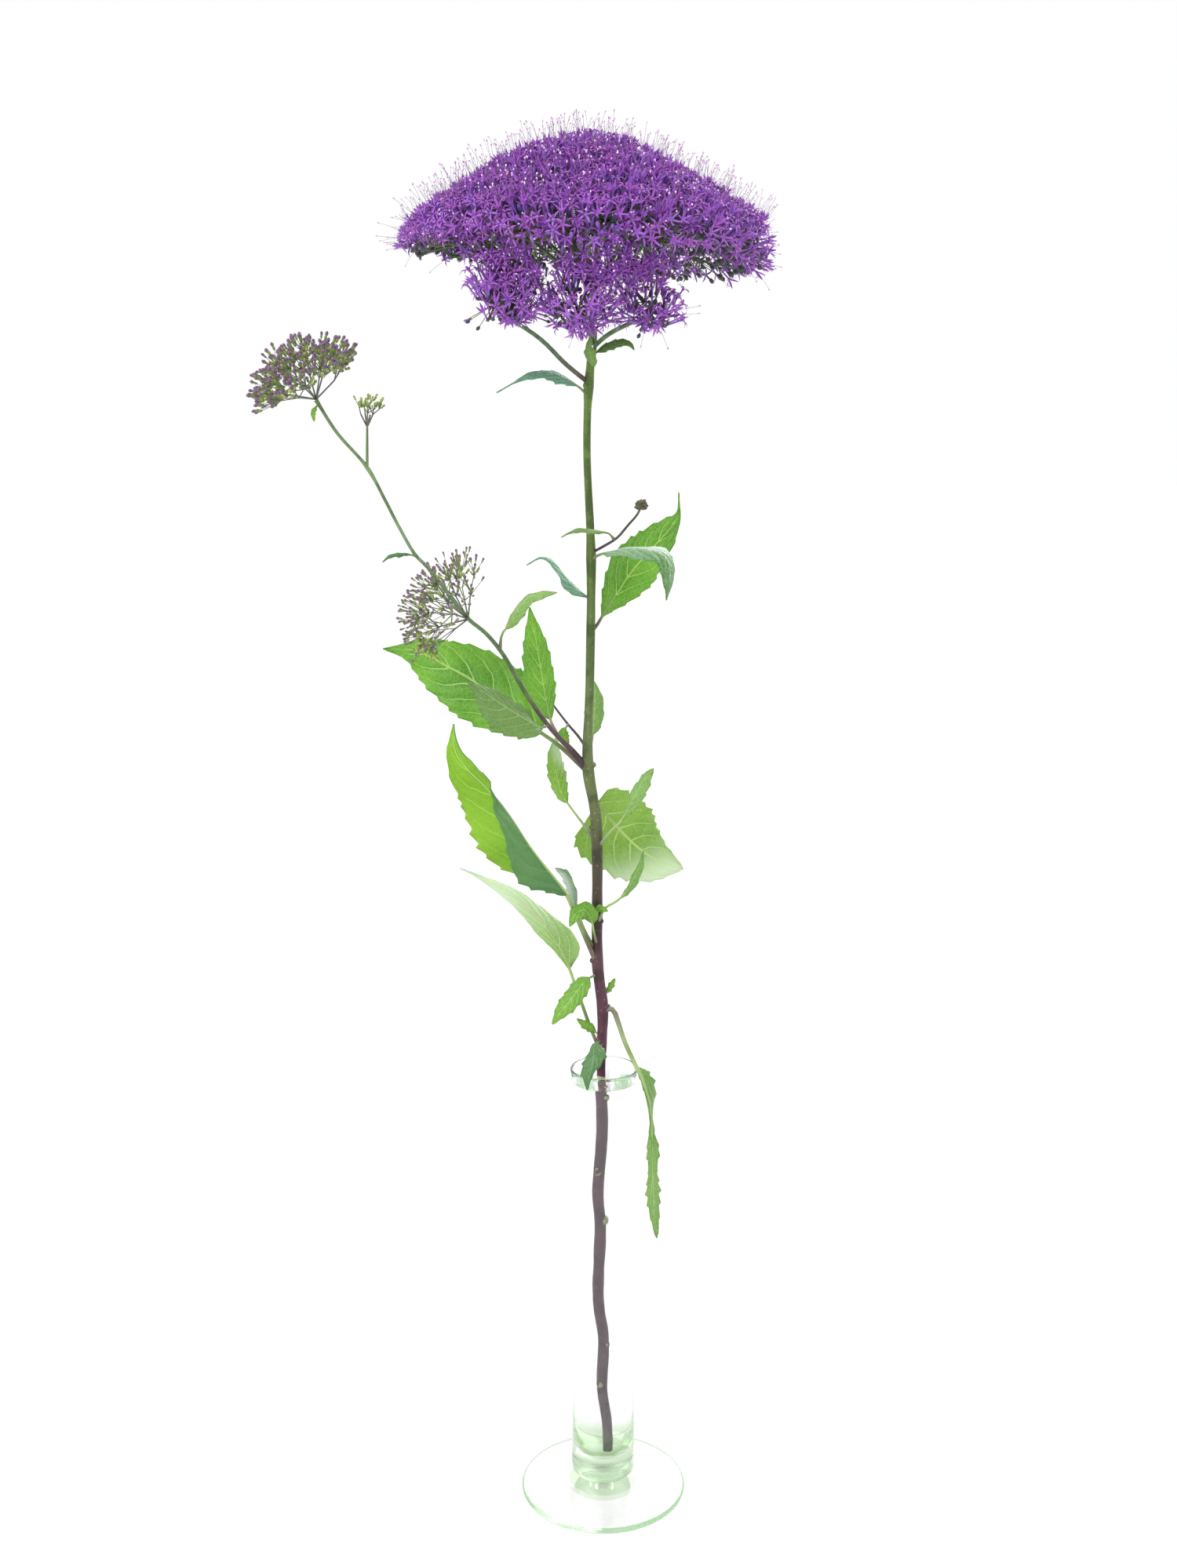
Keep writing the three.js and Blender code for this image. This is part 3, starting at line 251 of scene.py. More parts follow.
def stamped(name, master, places, tints):
    """One mesh with a copy of the master at each 4 by 4 place."""
    points, faces, shade = master
    count = len(places)
    grid = np.array([np.array(place) for place in places])
    moved = np.einsum("nij,pj->npi", grid[:, :3, :3], points) + grid[:, None, :3, 3]
    sizes = np.array([len(face) for face in faces])
    corners = np.concatenate([np.array(face) for face in faces])
    corners = (corners[None, :] + len(points) * np.arange(count)[:, None]).ravel()
    starts = np.concatenate([[0], np.cumsum(np.tile(sizes, count))[:-1]])
    mesh = bpy.data.meshes.new(name)
    mesh.vertices.add(count * len(points))
    mesh.vertices.foreach_set("co", moved.astype(np.float32).ravel())
    mesh.loops.add(len(corners))
    mesh.loops.foreach_set("vertex_index", corners.astype(np.int32))
    mesh.polygons.add(len(starts))
    mesh.polygons.foreach_set("loop_start", starts.astype(np.int32))
    mesh.update(calc_edges=True)
    mesh.validate()
    mesh.shade_smooth()
    for label, values in (("shade", np.tile(shade, count)), ("tint", np.repeat(tints, len(points)))):
        attribute = mesh.attributes.new(label, "FLOAT", "POINT")
        attribute.data.foreach_set("value", values.astype(np.float32))
    piece = bpy.data.objects.new(name, mesh)
    bpy.context.scene.collection.objects.link(piece)
    return piece


# %% Stand or stretch a copy
def standing(place, way, spin=0.0, size=1.0, length=1.0):
    """Stands a model in millimetres at a place in metres, its +Z along the way."""
    turn = Vector((0, 0, 1)).rotation_difference(way) @ Quaternion((0, 0, 1), spin)
    scale = Matrix.Diagonal((size * MM, size * MM, size * MM * length, 1))
    return Matrix.Translation(place) @ turn.to_matrix().to_4x4() @ scale


def spanning(start, end, radius):
    """Stretches a one millimetre rod of one millimetre radius from start to end."""
    way = end - start
    turn = Vector((0, 0, 1)).rotation_difference(way)
    scale = Matrix.Diagonal((radius * MM, radius * MM, way.length, 1))
    return Matrix.Translation(start) @ turn.to_matrix().to_4x4() @ scale


# %% [markdown]
# ## Colours and shared effects
# Colours are written as seen on a screen and turned into light values. Effects that several finishes
# share are node groups: veins that follow a leaf's own map, streaks that run along a stalk, and a
# soft mottle. They only put out masks, so that each finish mixes its own colours with them.

# %% Colour and node helpers
def rgb(code, alpha=1.0):
    """Light values of a colour written as six hex digits."""
    parts = [int(code[i : i + 2], 16) / 255 for i in (0, 2, 4)]
    return [c / 12.92 if c <= 0.04045 else ((c + 0.055) / 1.055) ** 2.4 for c in parts] + [alpha]


class Nodes:
    """Adds nodes to a tree and links them in one line; a colour may be written as six hex digits."""

    def __init__(self, tree):
        self.tree = tree

    def link(self, value, socket):
        self.tree.links.new(value, socket)

    def put(self, value, socket):
        """Links a node's output to a socket, or writes a number or a colour there."""
        if isinstance(value, bpy.types.NodeSocket):
            self.link(value, socket)
        else:
            socket.default_value = rgb(value) if isinstance(value, str) else value

    def add(self, kind, inputs=None, **settings):
        node = self.tree.nodes.new(kind)
        for key, value in settings.items():
            setattr(node, key, value)
        for key, value in (inputs or {}).items():
            self.put(value, node.inputs[key])
        return node

    def math(self, operation, a, b=0.0, c=0.0):
        return self.add("ShaderNodeMath", {0: a, 1: b, 2: c}, operation=operation).outputs[0]

    def mul(self, a, b):
        return self.math("MULTIPLY", a, b)

    def split(self, vector):
        return self.add("ShaderNodeSeparateXYZ", {0: vector}).outputs

    def attribute(self, name):
        return self.add("ShaderNodeAttribute", attribute_name=name).outputs["Fac"]

    def fit(self, value, low, high, to_low=0.0, to_high=1.0):
        """A soft step from to_low to to_high while the value goes from low to high."""
        inputs = {"Value": value, "From Min": low, "From Max": high}
        inputs.update({"To Min": to_low, "To Max": to_high})
        return self.add("ShaderNodeMapRange", inputs, interpolation_type="SMOOTHSTEP").outputs[0]

    def mix(self, share, a, b, blend="MIX"):
        node = self.add("ShaderNodeMix", data_type="RGBA", blend_type=blend)
        for key, value in ((0, share), (6, a), (7, b)):
            self.put(value, node.inputs[key])
        return node.outputs[2]

    def ramp(self, value, stops):
        node = self.add("ShaderNodeValToRGB", {0: value})
        marks = node.color_ramp.elements
        while len(marks) < len(stops):
            marks.new(0.5)
        for mark, (place, colour) in zip(marks, stops):
            mark.position, mark.color = place, rgb(colour)
        return node.outputs[0]


def new_group(name, inputs, outputs):
    """A shader group with named float or vector inputs and float outputs."""
    tree = bpy.data.node_groups.new(name, "ShaderNodeTree")
    for label, kind in inputs:
        tree.interface.new_socket(name=label, in_out="INPUT", socket_type="NodeSocket" + kind)
    for label in outputs:
        tree.interface.new_socket(name=label, in_out="OUTPUT", socket_type="NodeSocketFloat")
    nodes = Nodes(tree)
    return tree, nodes, nodes.add("NodeGroupInput").outputs, nodes.add("NodeGroupOutput")


# %% [markdown]
# ## Veins
# A leaf shows a pale midrib, side veins that sweep forward from it, and a fine net between them. They
# could be painted, but worked out from the leaf's own map they follow every blade, however it bends,
# and stay sharp close up. A last mask tells where the blade swells between two side veins.

# %% Veins that follow the leaf's own map
VEIN_PAIRS = 6.5


def vein_sweep(across):
    """How far a side vein has run forward when it is this far out from the midrib."""
    return 0.2 * across + 0.14 * across**2


veins, n, given, out = new_group(
    "leaf_veins", [("Map", "Vector"), ("Place", "Vector")], ["Vein", "Fine", "Quilt"]
)
ahead, over, _ = n.split(given["Map"])
side = n.math("ABSOLUTE", n.math("MULTIPLY_ADD", over, 2.0, -1.0))
sweep = n.mul(side, n.math("MULTIPLY_ADD", side, 0.14, 0.2))
wobble = n.add("ShaderNodeTexNoise", {"Vector": given["Place"], "Scale": 110.0, "Detail": 2.0})
drift = n.mul(n.math("SUBTRACT", wobble.outputs[0], 0.5), 0.07)
phase = n.mul(n.math("ADD", n.math("SUBTRACT", ahead, sweep), drift), VEIN_PAIRS)
away = n.mul(n.math("PINGPONG", phase, 0.5), 2.0)
line = n.fit(n.math("DIVIDE", away, n.fit(side, 0.0, 1.0, 0.12, 0.05)), 0.2, 1.0, 1.0, 0.0)
lateral = n.mul(line, n.fit(side, 0.7, 0.97, 1.0, 0.2))
midrib = n.fit(side, 0.012, 0.045, 1.0, 0.0)
net = {"Vector": given["Place"], "Scale": 480.0}
cells = n.add("ShaderNodeTexVoronoi", net, feature="DISTANCE_TO_EDGE")
n.link(n.math("MAXIMUM", midrib, lateral), out.inputs["Vein"])
n.link(n.fit(cells.outputs[0], 0.0, 0.12, 1.0, 0.0), out.inputs["Fine"])
n.link(n.mul(n.fit(away, 0.0, 1.0), n.fit(side, 0.0, 0.2)), out.inputs["Quilt"])

# %% [markdown]
# ## Streaks and mottle
# The fibres of a stalk run along it, so bark and green skin are streaked that way. Noise that is drawn
# out along the height gives such streaks, and small round cells give pale pores. The soft mottle is
# plain cloudy noise, which keeps any surface from looking evenly painted.

# %% Streaks along an upright stalk, and a soft mottle
streaks, n, given, out = new_group("stalk_streaks", [("Place", "Vector")], ["Streak", "Speck"])
squeezed = n.add("ShaderNodeMapping", {"Vector": given["Place"], "Scale": (1.0, 1.0, 0.045)})
lines = n.add("ShaderNodeTexNoise", {"Vector": squeezed.outputs[0], "Scale": 900.0, "Detail": 3.0})
dots = n.add("ShaderNodeTexVoronoi", {"Vector": given["Place"], "Scale": 420.0})
n.link(n.fit(lines.outputs[0], 0.35, 0.68), out.inputs["Streak"])
n.link(n.fit(dots.outputs[0], 0.1, 0.24, 1.0, 0.0), out.inputs["Speck"])

mottle, n, given, out = new_group("soft_mottle", [("Place", "Vector"), ("Scale", "Float")], ["Mottle"])
inputs = {"Vector": given["Place"], "Scale": given["Scale"], "Detail": 4.0}
cloud = n.add("ShaderNodeTexNoise", inputs)
n.link(n.fit(cloud.outputs[0], 0.32, 0.68), out.inputs["Mottle"])
print("groups:", [g.name for g in bpy.data.node_groups])


# %% [markdown]
# ## Starting a finish
# Every finish starts from the same main shader and reads the point on the piece, so that a pattern
# sits still on it. The few steps that all of them need are functions here.

# %% A new finish with its main shader
def new_finish(name, **fixed):
    """A material and its nodes; fixed sets plain sockets of the main shader."""
    material = bpy.data.materials.new(name)
    material.use_nodes = True
    nodes = Nodes(material.node_tree)
    shader = material.node_tree.nodes["Principled BSDF"]
    for key, value in fixed.items():
        shader.inputs[key.replace("_", " ")].default_value = value
    return material, nodes, shader


def place_of(nodes):
    """The point on the piece, in metres."""
    return nodes.add("ShaderNodeTexCoord").outputs["Object"]


def use_group(nodes, group, inputs):
    """The outputs of a node group that is given these inputs."""
    return nodes.add("ShaderNodeGroup", inputs, node_tree=group).outputs


def clouds(nodes, place, scale):
    """The soft mottle as a mask; a larger scale makes it finer."""
    return use_group(nodes, mottle, {"Place": place, "Scale": scale})["Mottle"]


def paint(nodes, shader, colour):
    nodes.link(colour, shader.inputs["Base Color"])


def bump(nodes, shader, height, strength, distance):
    """Roughens the look of the surface where the height mask rises."""
    inputs = {"Height": height, "Strength": strength, "Distance": distance}
    nodes.link(nodes.add("ShaderNodeBump", inputs).outputs[0], shader.inputs["Normal"])


def absorb(material, nodes, colour, density):
    """Lets light lose colour on its way through the inside."""
    inside = nodes.add("ShaderNodeVolumeAbsorption", {"Color": colour, "Density": density})
    nodes.link(inside.outputs[0], material.node_tree.nodes["Material Output"].inputs["Volume"])


# %% [markdown]
# ## Glass and water
# The vase is recycled glass: clear where it is thin, green where light travels far through it, as in
# the thick bottom and along the foot's edge. A light absorption inside the glass gives a part of that.
# Alone it would turn the lip dark green too, as light also runs round inside the thin wall, so the
# surface of the thick bottom and of the foot's edge is tinted as well. A blown tube also looks a
# little darker where its wall is seen edge-on, which the layer weight adds. The round floor of the bore
# and the underside of the tube, where the glass was broken off and melted on, are a little dull, so
# they blur what lies behind. The water is clear, a little bluish, and bends light less than glass does.

# %% Glass and water finishes
CLEAR = (1, 1, 1, 1)
glass, nodes, shader = new_finish("vase_glass", Roughness=0.0, IOR=1.5, Transmission_Weight=1.0)
place = place_of(nodes)
x, y, height = nodes.split(place)
across = nodes.math("SQRT", nodes.math("MULTIPLY_ADD", x, x, nodes.mul(y, y)))

# Masks for the thick bottom, the bore's round end, its side and floor, and the tube's underside.
low_part = nodes.mul(nodes.fit(height, 0.03, 0.016), nodes.fit(across, 0.016, 0.0145))
bore_end = nodes.mul(nodes.fit(height, 0.0165, 0.0175), nodes.fit(across, 0.0128, 0.0122))
bore_side = nodes.mul(nodes.fit(across, 0.005, 0.0066), nodes.fit(height, 0.03, 0.023))
bore_floor = nodes.mul(bore_end, nodes.fit(across, 0.0066, 0.005))
underside = nodes.mul(nodes.fit(height, 0.0068, 0.0076), nodes.fit(height, 0.0125, 0.0105))
underside = nodes.mul(underside, nodes.fit(across, 0.0145, 0.0135))
foot_edge = nodes.fit(across, 0.0345, 0.0355)
# Painted shade: the glass colour is tinted a little darker where its wall is seen edge-on.
edge_on_shade = nodes.add("ShaderNodeLayerWeight", {"Blend": 0.5}).outputs["Facing"]

colour = CLEAR
for mask, tint in (
    (nodes.fit(edge_on_shade, 0.72, 1.0), "DCE6E3"), (low_part, "D1E5C8"),
    (nodes.mul(bore_end, bore_side), "C2E0B2"), (bore_floor, CLEAR), (foot_edge, "B2D6AD"),
):
    colour = nodes.mix(mask, colour, tint)
paint(nodes, shader, colour)
dull = nodes.mul(nodes.math("MAXIMUM", bore_floor, underside), 0.45)
nodes.link(dull, shader.inputs["Roughness"])
ripple = nodes.add("ShaderNodeTexNoise", {"Vector": place, "Scale": 60.0, "Detail": 1.0})
bump(nodes, shader, ripple.outputs[0], 0.06, 0.0005)
absorb(glass, nodes, (0.4, 0.84, 0.3, 1), 1.4)

water_finish, nodes, shader = new_finish(
    "clear_water", Base_Color=CLEAR, Roughness=0.0, IOR=1.33, Transmission_Weight=1.0
)
ripple = nodes.add("ShaderNodeTexNoise", {"Vector": place_of(nodes), "Scale": 25.0, "Detail": 0.0})
bump(nodes, shader, ripple.outputs[0], 0.03, 0.0004)
absorb(water_finish, nodes, (0.2, 0.75, 0.9, 1), 0.5)

# %% [markdown]
# ## The vase
# Its foot is a flat disc with a soft edge that rises towards a short neck, and the tall tube has a
# thick bottom and a lip that flares a little. One outline holds the outer and the inner wall, so the
# glass has its true thickness everywhere.

# %% Vase
foot = [
    (0, 0.9), (20, 0.7), (30, 0.2), (33.6, 0), (35.4, 0.2), (36, 1.3), (35.8, 2.4), (34.6, 3.1),
    (30, 3.3), (22, 3.9),
]
outer = [
    (14, 4.9), (8.5, 6), (6, 6.8), (5.3, 7.4), (6.6, 7.9), (10.4, 8.2), (12.9, 9.2), (13.9, 11.4),
    (13.7, 18), (13.3, 40), (13.2, 100), (13.2, 182), (13.4, 189), (13.9, 193.5), (14.2, 195.2),
]
lip = [(14.1, 195.9), (13.7, 196.1), (13.3, 195.8), (12.9, 194.6), (12.4, 192), (12, 188), (11.8, 180)]
bore = [(12.1, 80), (12.2, 50), (12.1, 34), (11.6, 28), (10.2, 23.4), (7.8, 20), (5, 18.4), (0, 18)]
vase = spun("vase", rounded(foot + outer + lip + bore), 96)
vase.data.materials.append(glass)
print("vase faces", len(vase.data.polygons))

# %% [markdown]
# ## The water
# Water touches the glass with no air between, so its side lies a hair inside the wall, up to the
# very edge of its surface. It climbs a little where it meets the glass.

# %% Water
wet = [
    (0, 17.8), (5, 18.2), (7.95, 19.8), (10.4, 23.2), (11.8, 27.9), (12.3, 34), (12.35, 50), (12.25, 80),
    (12, 170), (12.1, 184), (12.45, 190.3), (11.8, 190), (10.8, 189.9), (0, 189.9),
]
water = spun("water_in_vase", wet, 64)
water.data.materials.append(water_finish)
print("water faces", len(water.data.polygons))


# %% [markdown]
# ## Stem, branch and twigs
# The foot of the stem is woody and dark, with pale scars, and the upper part is green and smooth, a
# little swollen where leaves leave it. The rings follow those radii, and the woody part gets shallow
# furrows. Its colour depends on the height alone, because a stem greens as it grows up.

# %% Stem shapes
STEM_RADII = [
    [18.5, 1.5], [60, 1.75], [190, 1.85], [199, 2.0], [206, 2.3], [212, 2.1], [218, 2.3], [224, 2.5],
    [232, 2.2], [243, 2.5], [252, 2.2], [262, 2.4], [275, 2.15], [292, 2.4], [300, 2.5], [310, 2.1],
    [322, 2.5], [329, 2.3], [345, 1.75], [382, 1.85], [395, 1.7], [410, 2.1], [418, 1.7], [440, 1.5],
    [468, 1.5], [476, 2.1], [484, 1.6], [490, 1.9], [500, 1.5], [520, 1.3],
]
STEM_PATH = [
    [1.5, 0, 18.6], [1.1, 0, 34], [-0.3, 0, 48], [0, 0, 73], [-1.6, 0, 92], [-1, 0, 127], [-1.8, 0, 141],
    [-0.5, 0, 170], [-1.2, 0, 198], [-0.6, 0, 222], [-2.7, 0, 241], [-2.9, 0, 285], [-3.6, 0, 305],
    [-6.7, 0, 325], [-5.9, 0, 363], [-5.5, 0, 411], [-7.1, 0, 452], [-6.5, 0, 475], [-4.7, 0, 496],
    [-4.4, 0, 519.6],
]
SCARS = [
    [0.2, -0.4, 128.6, 1.4], [0.9, -0.5, 70.8, 1.1], [0.8, -0.8, 223, 2.1], [0.9, -1.4, 184.5, 0.9],
    [-0.9, -0.9, 189.6, 1.7], [-1.9, -1.5, 151, 1.1], [-1.8, -0.3, 110.4, 1.1], [-0.9, -0.8, 52, 1.3],
    [-4.5, -0.8, 300, 1.9], [-4.2, 0, 243, 1.9], [-2.1, 0, 260, 2.0], [-5.4, 0, 326, 2.1],
    [-6.9, -0.3, 476.5, 1.9],
]
BRANCH_PATH = [
    [-7.6, 0, 325], [-13.2, -2, 332.2], [-18.2, -4, 337.7], [-24.1, -6, 345.1], [-32.5, -8, 358.1],
    [-40.4, -10, 372.5], [-47, -12, 381.1], [-53.3, -13, 386.5], [-61.7, -14, 397.3], [-68.5, -15, 406.6],
    [-73.5, -16, 411.8], [-80.1, -17, 423.6], [-84.6, -18, 432.9], [-91, -20, 445.4], [-102, -22, 458.6],
    [-109.4, -22, 470.5],
]
SIDE_STALK = [[-91, -20, 445], [-90.8, -20, 453], [-90.6, -20, 460.4]]
RIGHT_TWIG = [
    [-5.6, 0, 411.5], [-0.3, -3, 414.6], [4.6, -4, 417.7], [9.2, -5, 423], [12.6, -6, 427],
    [14.3, -6, 430.5],
]
LEFT_TWIG = [
    [-6.6, 0, 331.5], [-10.5, 3.2, 337], [-14.8, 6, 341.6], [-21.3, 9, 349.8], [-23.2, 10, 352.9],
]
HEAD_STALKS = [
    [[-6.5, 0, 477.5], [-15, -7, 484.1], [-24.9, -20, 493.2], [-40.4, -34.2, 502.5]],
    [[-5, 0, 494.5], [-7.5, -14, 497.5], [-10.4, -38.5, 502.5]],
    [[-5.2, 0, 490.5], [1.8, -13, 495.5], [16.5, -29.5, 501.5]],
]


# %% Furrows and scars
VASE_TOP = 200
BRANCH_RADII = [
    [0, 1.5], [0.1, 1.0], [0.42, 0.8], [0.48, 1.0], [0.54, 0.7], [0.79, 0.66], [0.82, 0.85], [0.85, 0.62],
    [0.98, 0.66], [1, 0.9],
]


def furrow(rod, top, depth):
    """Presses shallow furrows into a rod below a height; they nearly fade out above it."""
    for corner in rod.data.vertices:
        x, y, z = corner.co
        fade = max(0.15, min(1, (top - z) / 0.03))
        rough = noise.noise(Vector((x * 900, y * 900, z * 110)))
        corner.co += corner.normal * (depth * fade * rough)


def knob(name, place, reach):
    """A scar: a ball pushed into the bark, drawn tall inside the vase and flattened above it."""
    start_fresh()
    bpy.ops.mesh.primitive_ico_sphere_add(subdivisions=2, radius=reach * MM)
    scar = named(name)
    tall = 1.7 if place[2] < VASE_TOP else 0.75
    scar.data.transform(Matrix.Translation(Vector(place) * MM) @ Matrix.Diagonal((1, 1, tall, 1)))
    bpy.ops.object.shade_smooth()
    return scar

def tapered(name, points, foot, loss, sides, steps):
    """A rod that starts with a foot radius and loses some of it, in millimetres, up to its end."""
    return grow_rod(name, Path(points), lambda u, p: (foot - loss * u) * MM, sides, steps)


# %% Stem
stem = grow_rod(
    "stem", Path(STEM_PATH), lambda u, p: along(STEM_RADII, p.z / MM) * MM, sides=14, steps=150
)
furrow(stem, 0.27, 0.00022)
knobs = [knob(f"scar_{i}", s[:3], s[3]) for i, s in enumerate(SCARS)]
stalks = [tapered(f"stalk_{i}", points, 0.95, 0.2, 8, 14) for i, points in enumerate(HEAD_STALKS)]

# %% Branch and twigs
branch_rod = grow_rod(
    "branch", Path(BRANCH_PATH), lambda u, p: along(BRANCH_RADII, u) * MM, sides=10, steps=90
)
branch = join([branch_rod, tapered("side_stalk", SIDE_STALK, 0.6, 0.15, 7, 8)], "branch")
right_twig = tapered("right_twig", RIGHT_TWIG, 0.6, 0.15, 8, 16)
left_twig = tapered("left_twig", LEFT_TWIG, 0.6, 0.2, 8, 14)
print("branch and twig faces", [len(rod.data.polygons) for rod in (branch, right_twig, left_twig)])


# %% [markdown]
# ## Skin of the stem and the branch
# The old wood is a dark purple brown and the young part green. A ramp along the height holds those
# colours, and streaks, pores and a soft mottle break them up. A pale ring marks the stem where it
# leaves the vase, and its foot was cut, which shows pale wood.

# %% Stem and branch finishes
def stalk_finish(name, low, high, stops, speck, roughness, ring=None, cut=None):
    """Colour by height with lighter streaks and pale specks, maybe a pale ring and a pale cut end."""
    material, nodes, shader = new_finish(name, Roughness=roughness, Specular_IOR_Level=0.4)
    place = place_of(nodes)
    height = nodes.split(place)[2]
    colour = nodes.ramp(nodes.fit(height, low, high), stops)
    marks = use_group(nodes, streaks, {"Place": place})
    lighter = nodes.mix(0.3, colour, (1, 1, 1, 1), blend="SOFT_LIGHT")
    streaked = nodes.mix(marks["Streak"], colour, lighter)
    specks = nodes.mul(marks["Speck"], speck)
    coloured = nodes.mix(specks, streaked, "9C8C7C")
    cloud = clouds(nodes, place, 130.0)
    coloured = nodes.mix(nodes.mul(cloud, 0.4), coloured, (1, 1, 1, 1), blend="SOFT_LIGHT")
    patch = nodes.math("SUBTRACT", 1.0, nodes.fit(cloud, 0.25, 0.5))
    coloured = nodes.mix(nodes.mul(patch, 0.3), coloured, (0, 0, 0, 1), blend="SOFT_LIGHT")
    if ring is not None:
        rough = nodes.math("MULTIPLY_ADD", cloud, 0.004, height)
        away = nodes.math("ABSOLUTE", nodes.math("SUBTRACT", rough, ring))
        coloured = nodes.mix(nodes.fit(away, 0.0028, 0.0016), coloured, "C2BE9A")
    if cut is not None:
        coloured = nodes.mix(nodes.fit(height, cut + 0.0007, cut), coloured, "D8D6B8")
    paint(nodes, shader, coloured)
    bump(nodes, shader, marks["Streak"], 0.35, 0.0002)
    return material


stem_finish = stalk_finish(
    "stem_skin", 0.018, 0.52,
    [(0.0, "5C5C50"), (0.0014, "5C5C50"), (0.0026, "54424A"), (0.06, "4C2E3A"), (0.34, "4A2636"),
     (0.46, "402A2C"), (0.53, "3A3228"), (0.57, "3D3E28"), (0.64, "4E5A34"), (0.72, "515E34"),
     (0.79, "445426"), (0.85, "485A25"), (0.92, "44591F"), (1.0, "56762E")],
    0.3, 0.5, ring=0.192, cut=0.0183,
)
branch_finish = stalk_finish(
    "branch_skin", 0.325, 0.475,
    [(0.0, "463238"), (0.05, "4B3E3C"), (0.12, "4E6038"), (0.5, "638258"), (1.0, "587044")], 0.08, 0.5,
)
head_stalk_finish = stalk_finish(
    "head_stalk_skin", 0.477, 0.505, [(0.0, "584642"), (0.3, "4C5E4A"), (1.0, "5E7A52")],
    0.1, 0.5,
)
twig_finish = stalk_finish("twig_skin", 0.41, 0.432, [(0.0, "3A2A34"), (1.0, "48503A")], 0.1, 0.5)
scar_finish, nodes, shader = new_finish("leaf_scar", Roughness=0.6)
place = place_of(nodes)
cloud = clouds(nodes, place, 420.0)
paint(nodes, shader, nodes.mix(nodes.fit(cloud, 0.35, 0.6), "3E2C2A", "B6B08A"))
bump(nodes, shader, cloud, 0.3, 0.0002)
for piece, finish in (
    (stem, stem_finish), (branch, branch_finish), (right_twig, twig_finish), (left_twig, branch_finish)
):
    piece.data.materials.append(finish)
for scar, place in zip(knobs, SCARS):
    scar.data.materials.append(scar_finish if place[2] < VASE_TOP else stem_finish)
for stalk in stalks:
    stalk.data.materials.append(head_stalk_finish)
stem = join([stem] + knobs + stalks, "stem")
print("stem faces", len(stem.data.polygons))


# %% [markdown]
# ## Leaves
# A leaf is a blade on a stalk that runs on as the midrib. The blade could be cut from a plane with a
# knife, but teeth, folds and curls are easier to hold in numbers: a grid is laid over the blade, its
# columns set at the notches and the points of the teeth, and every grid point is put in its place.
# Solidify then gives the blade its thickness and its underside a finish of its own.

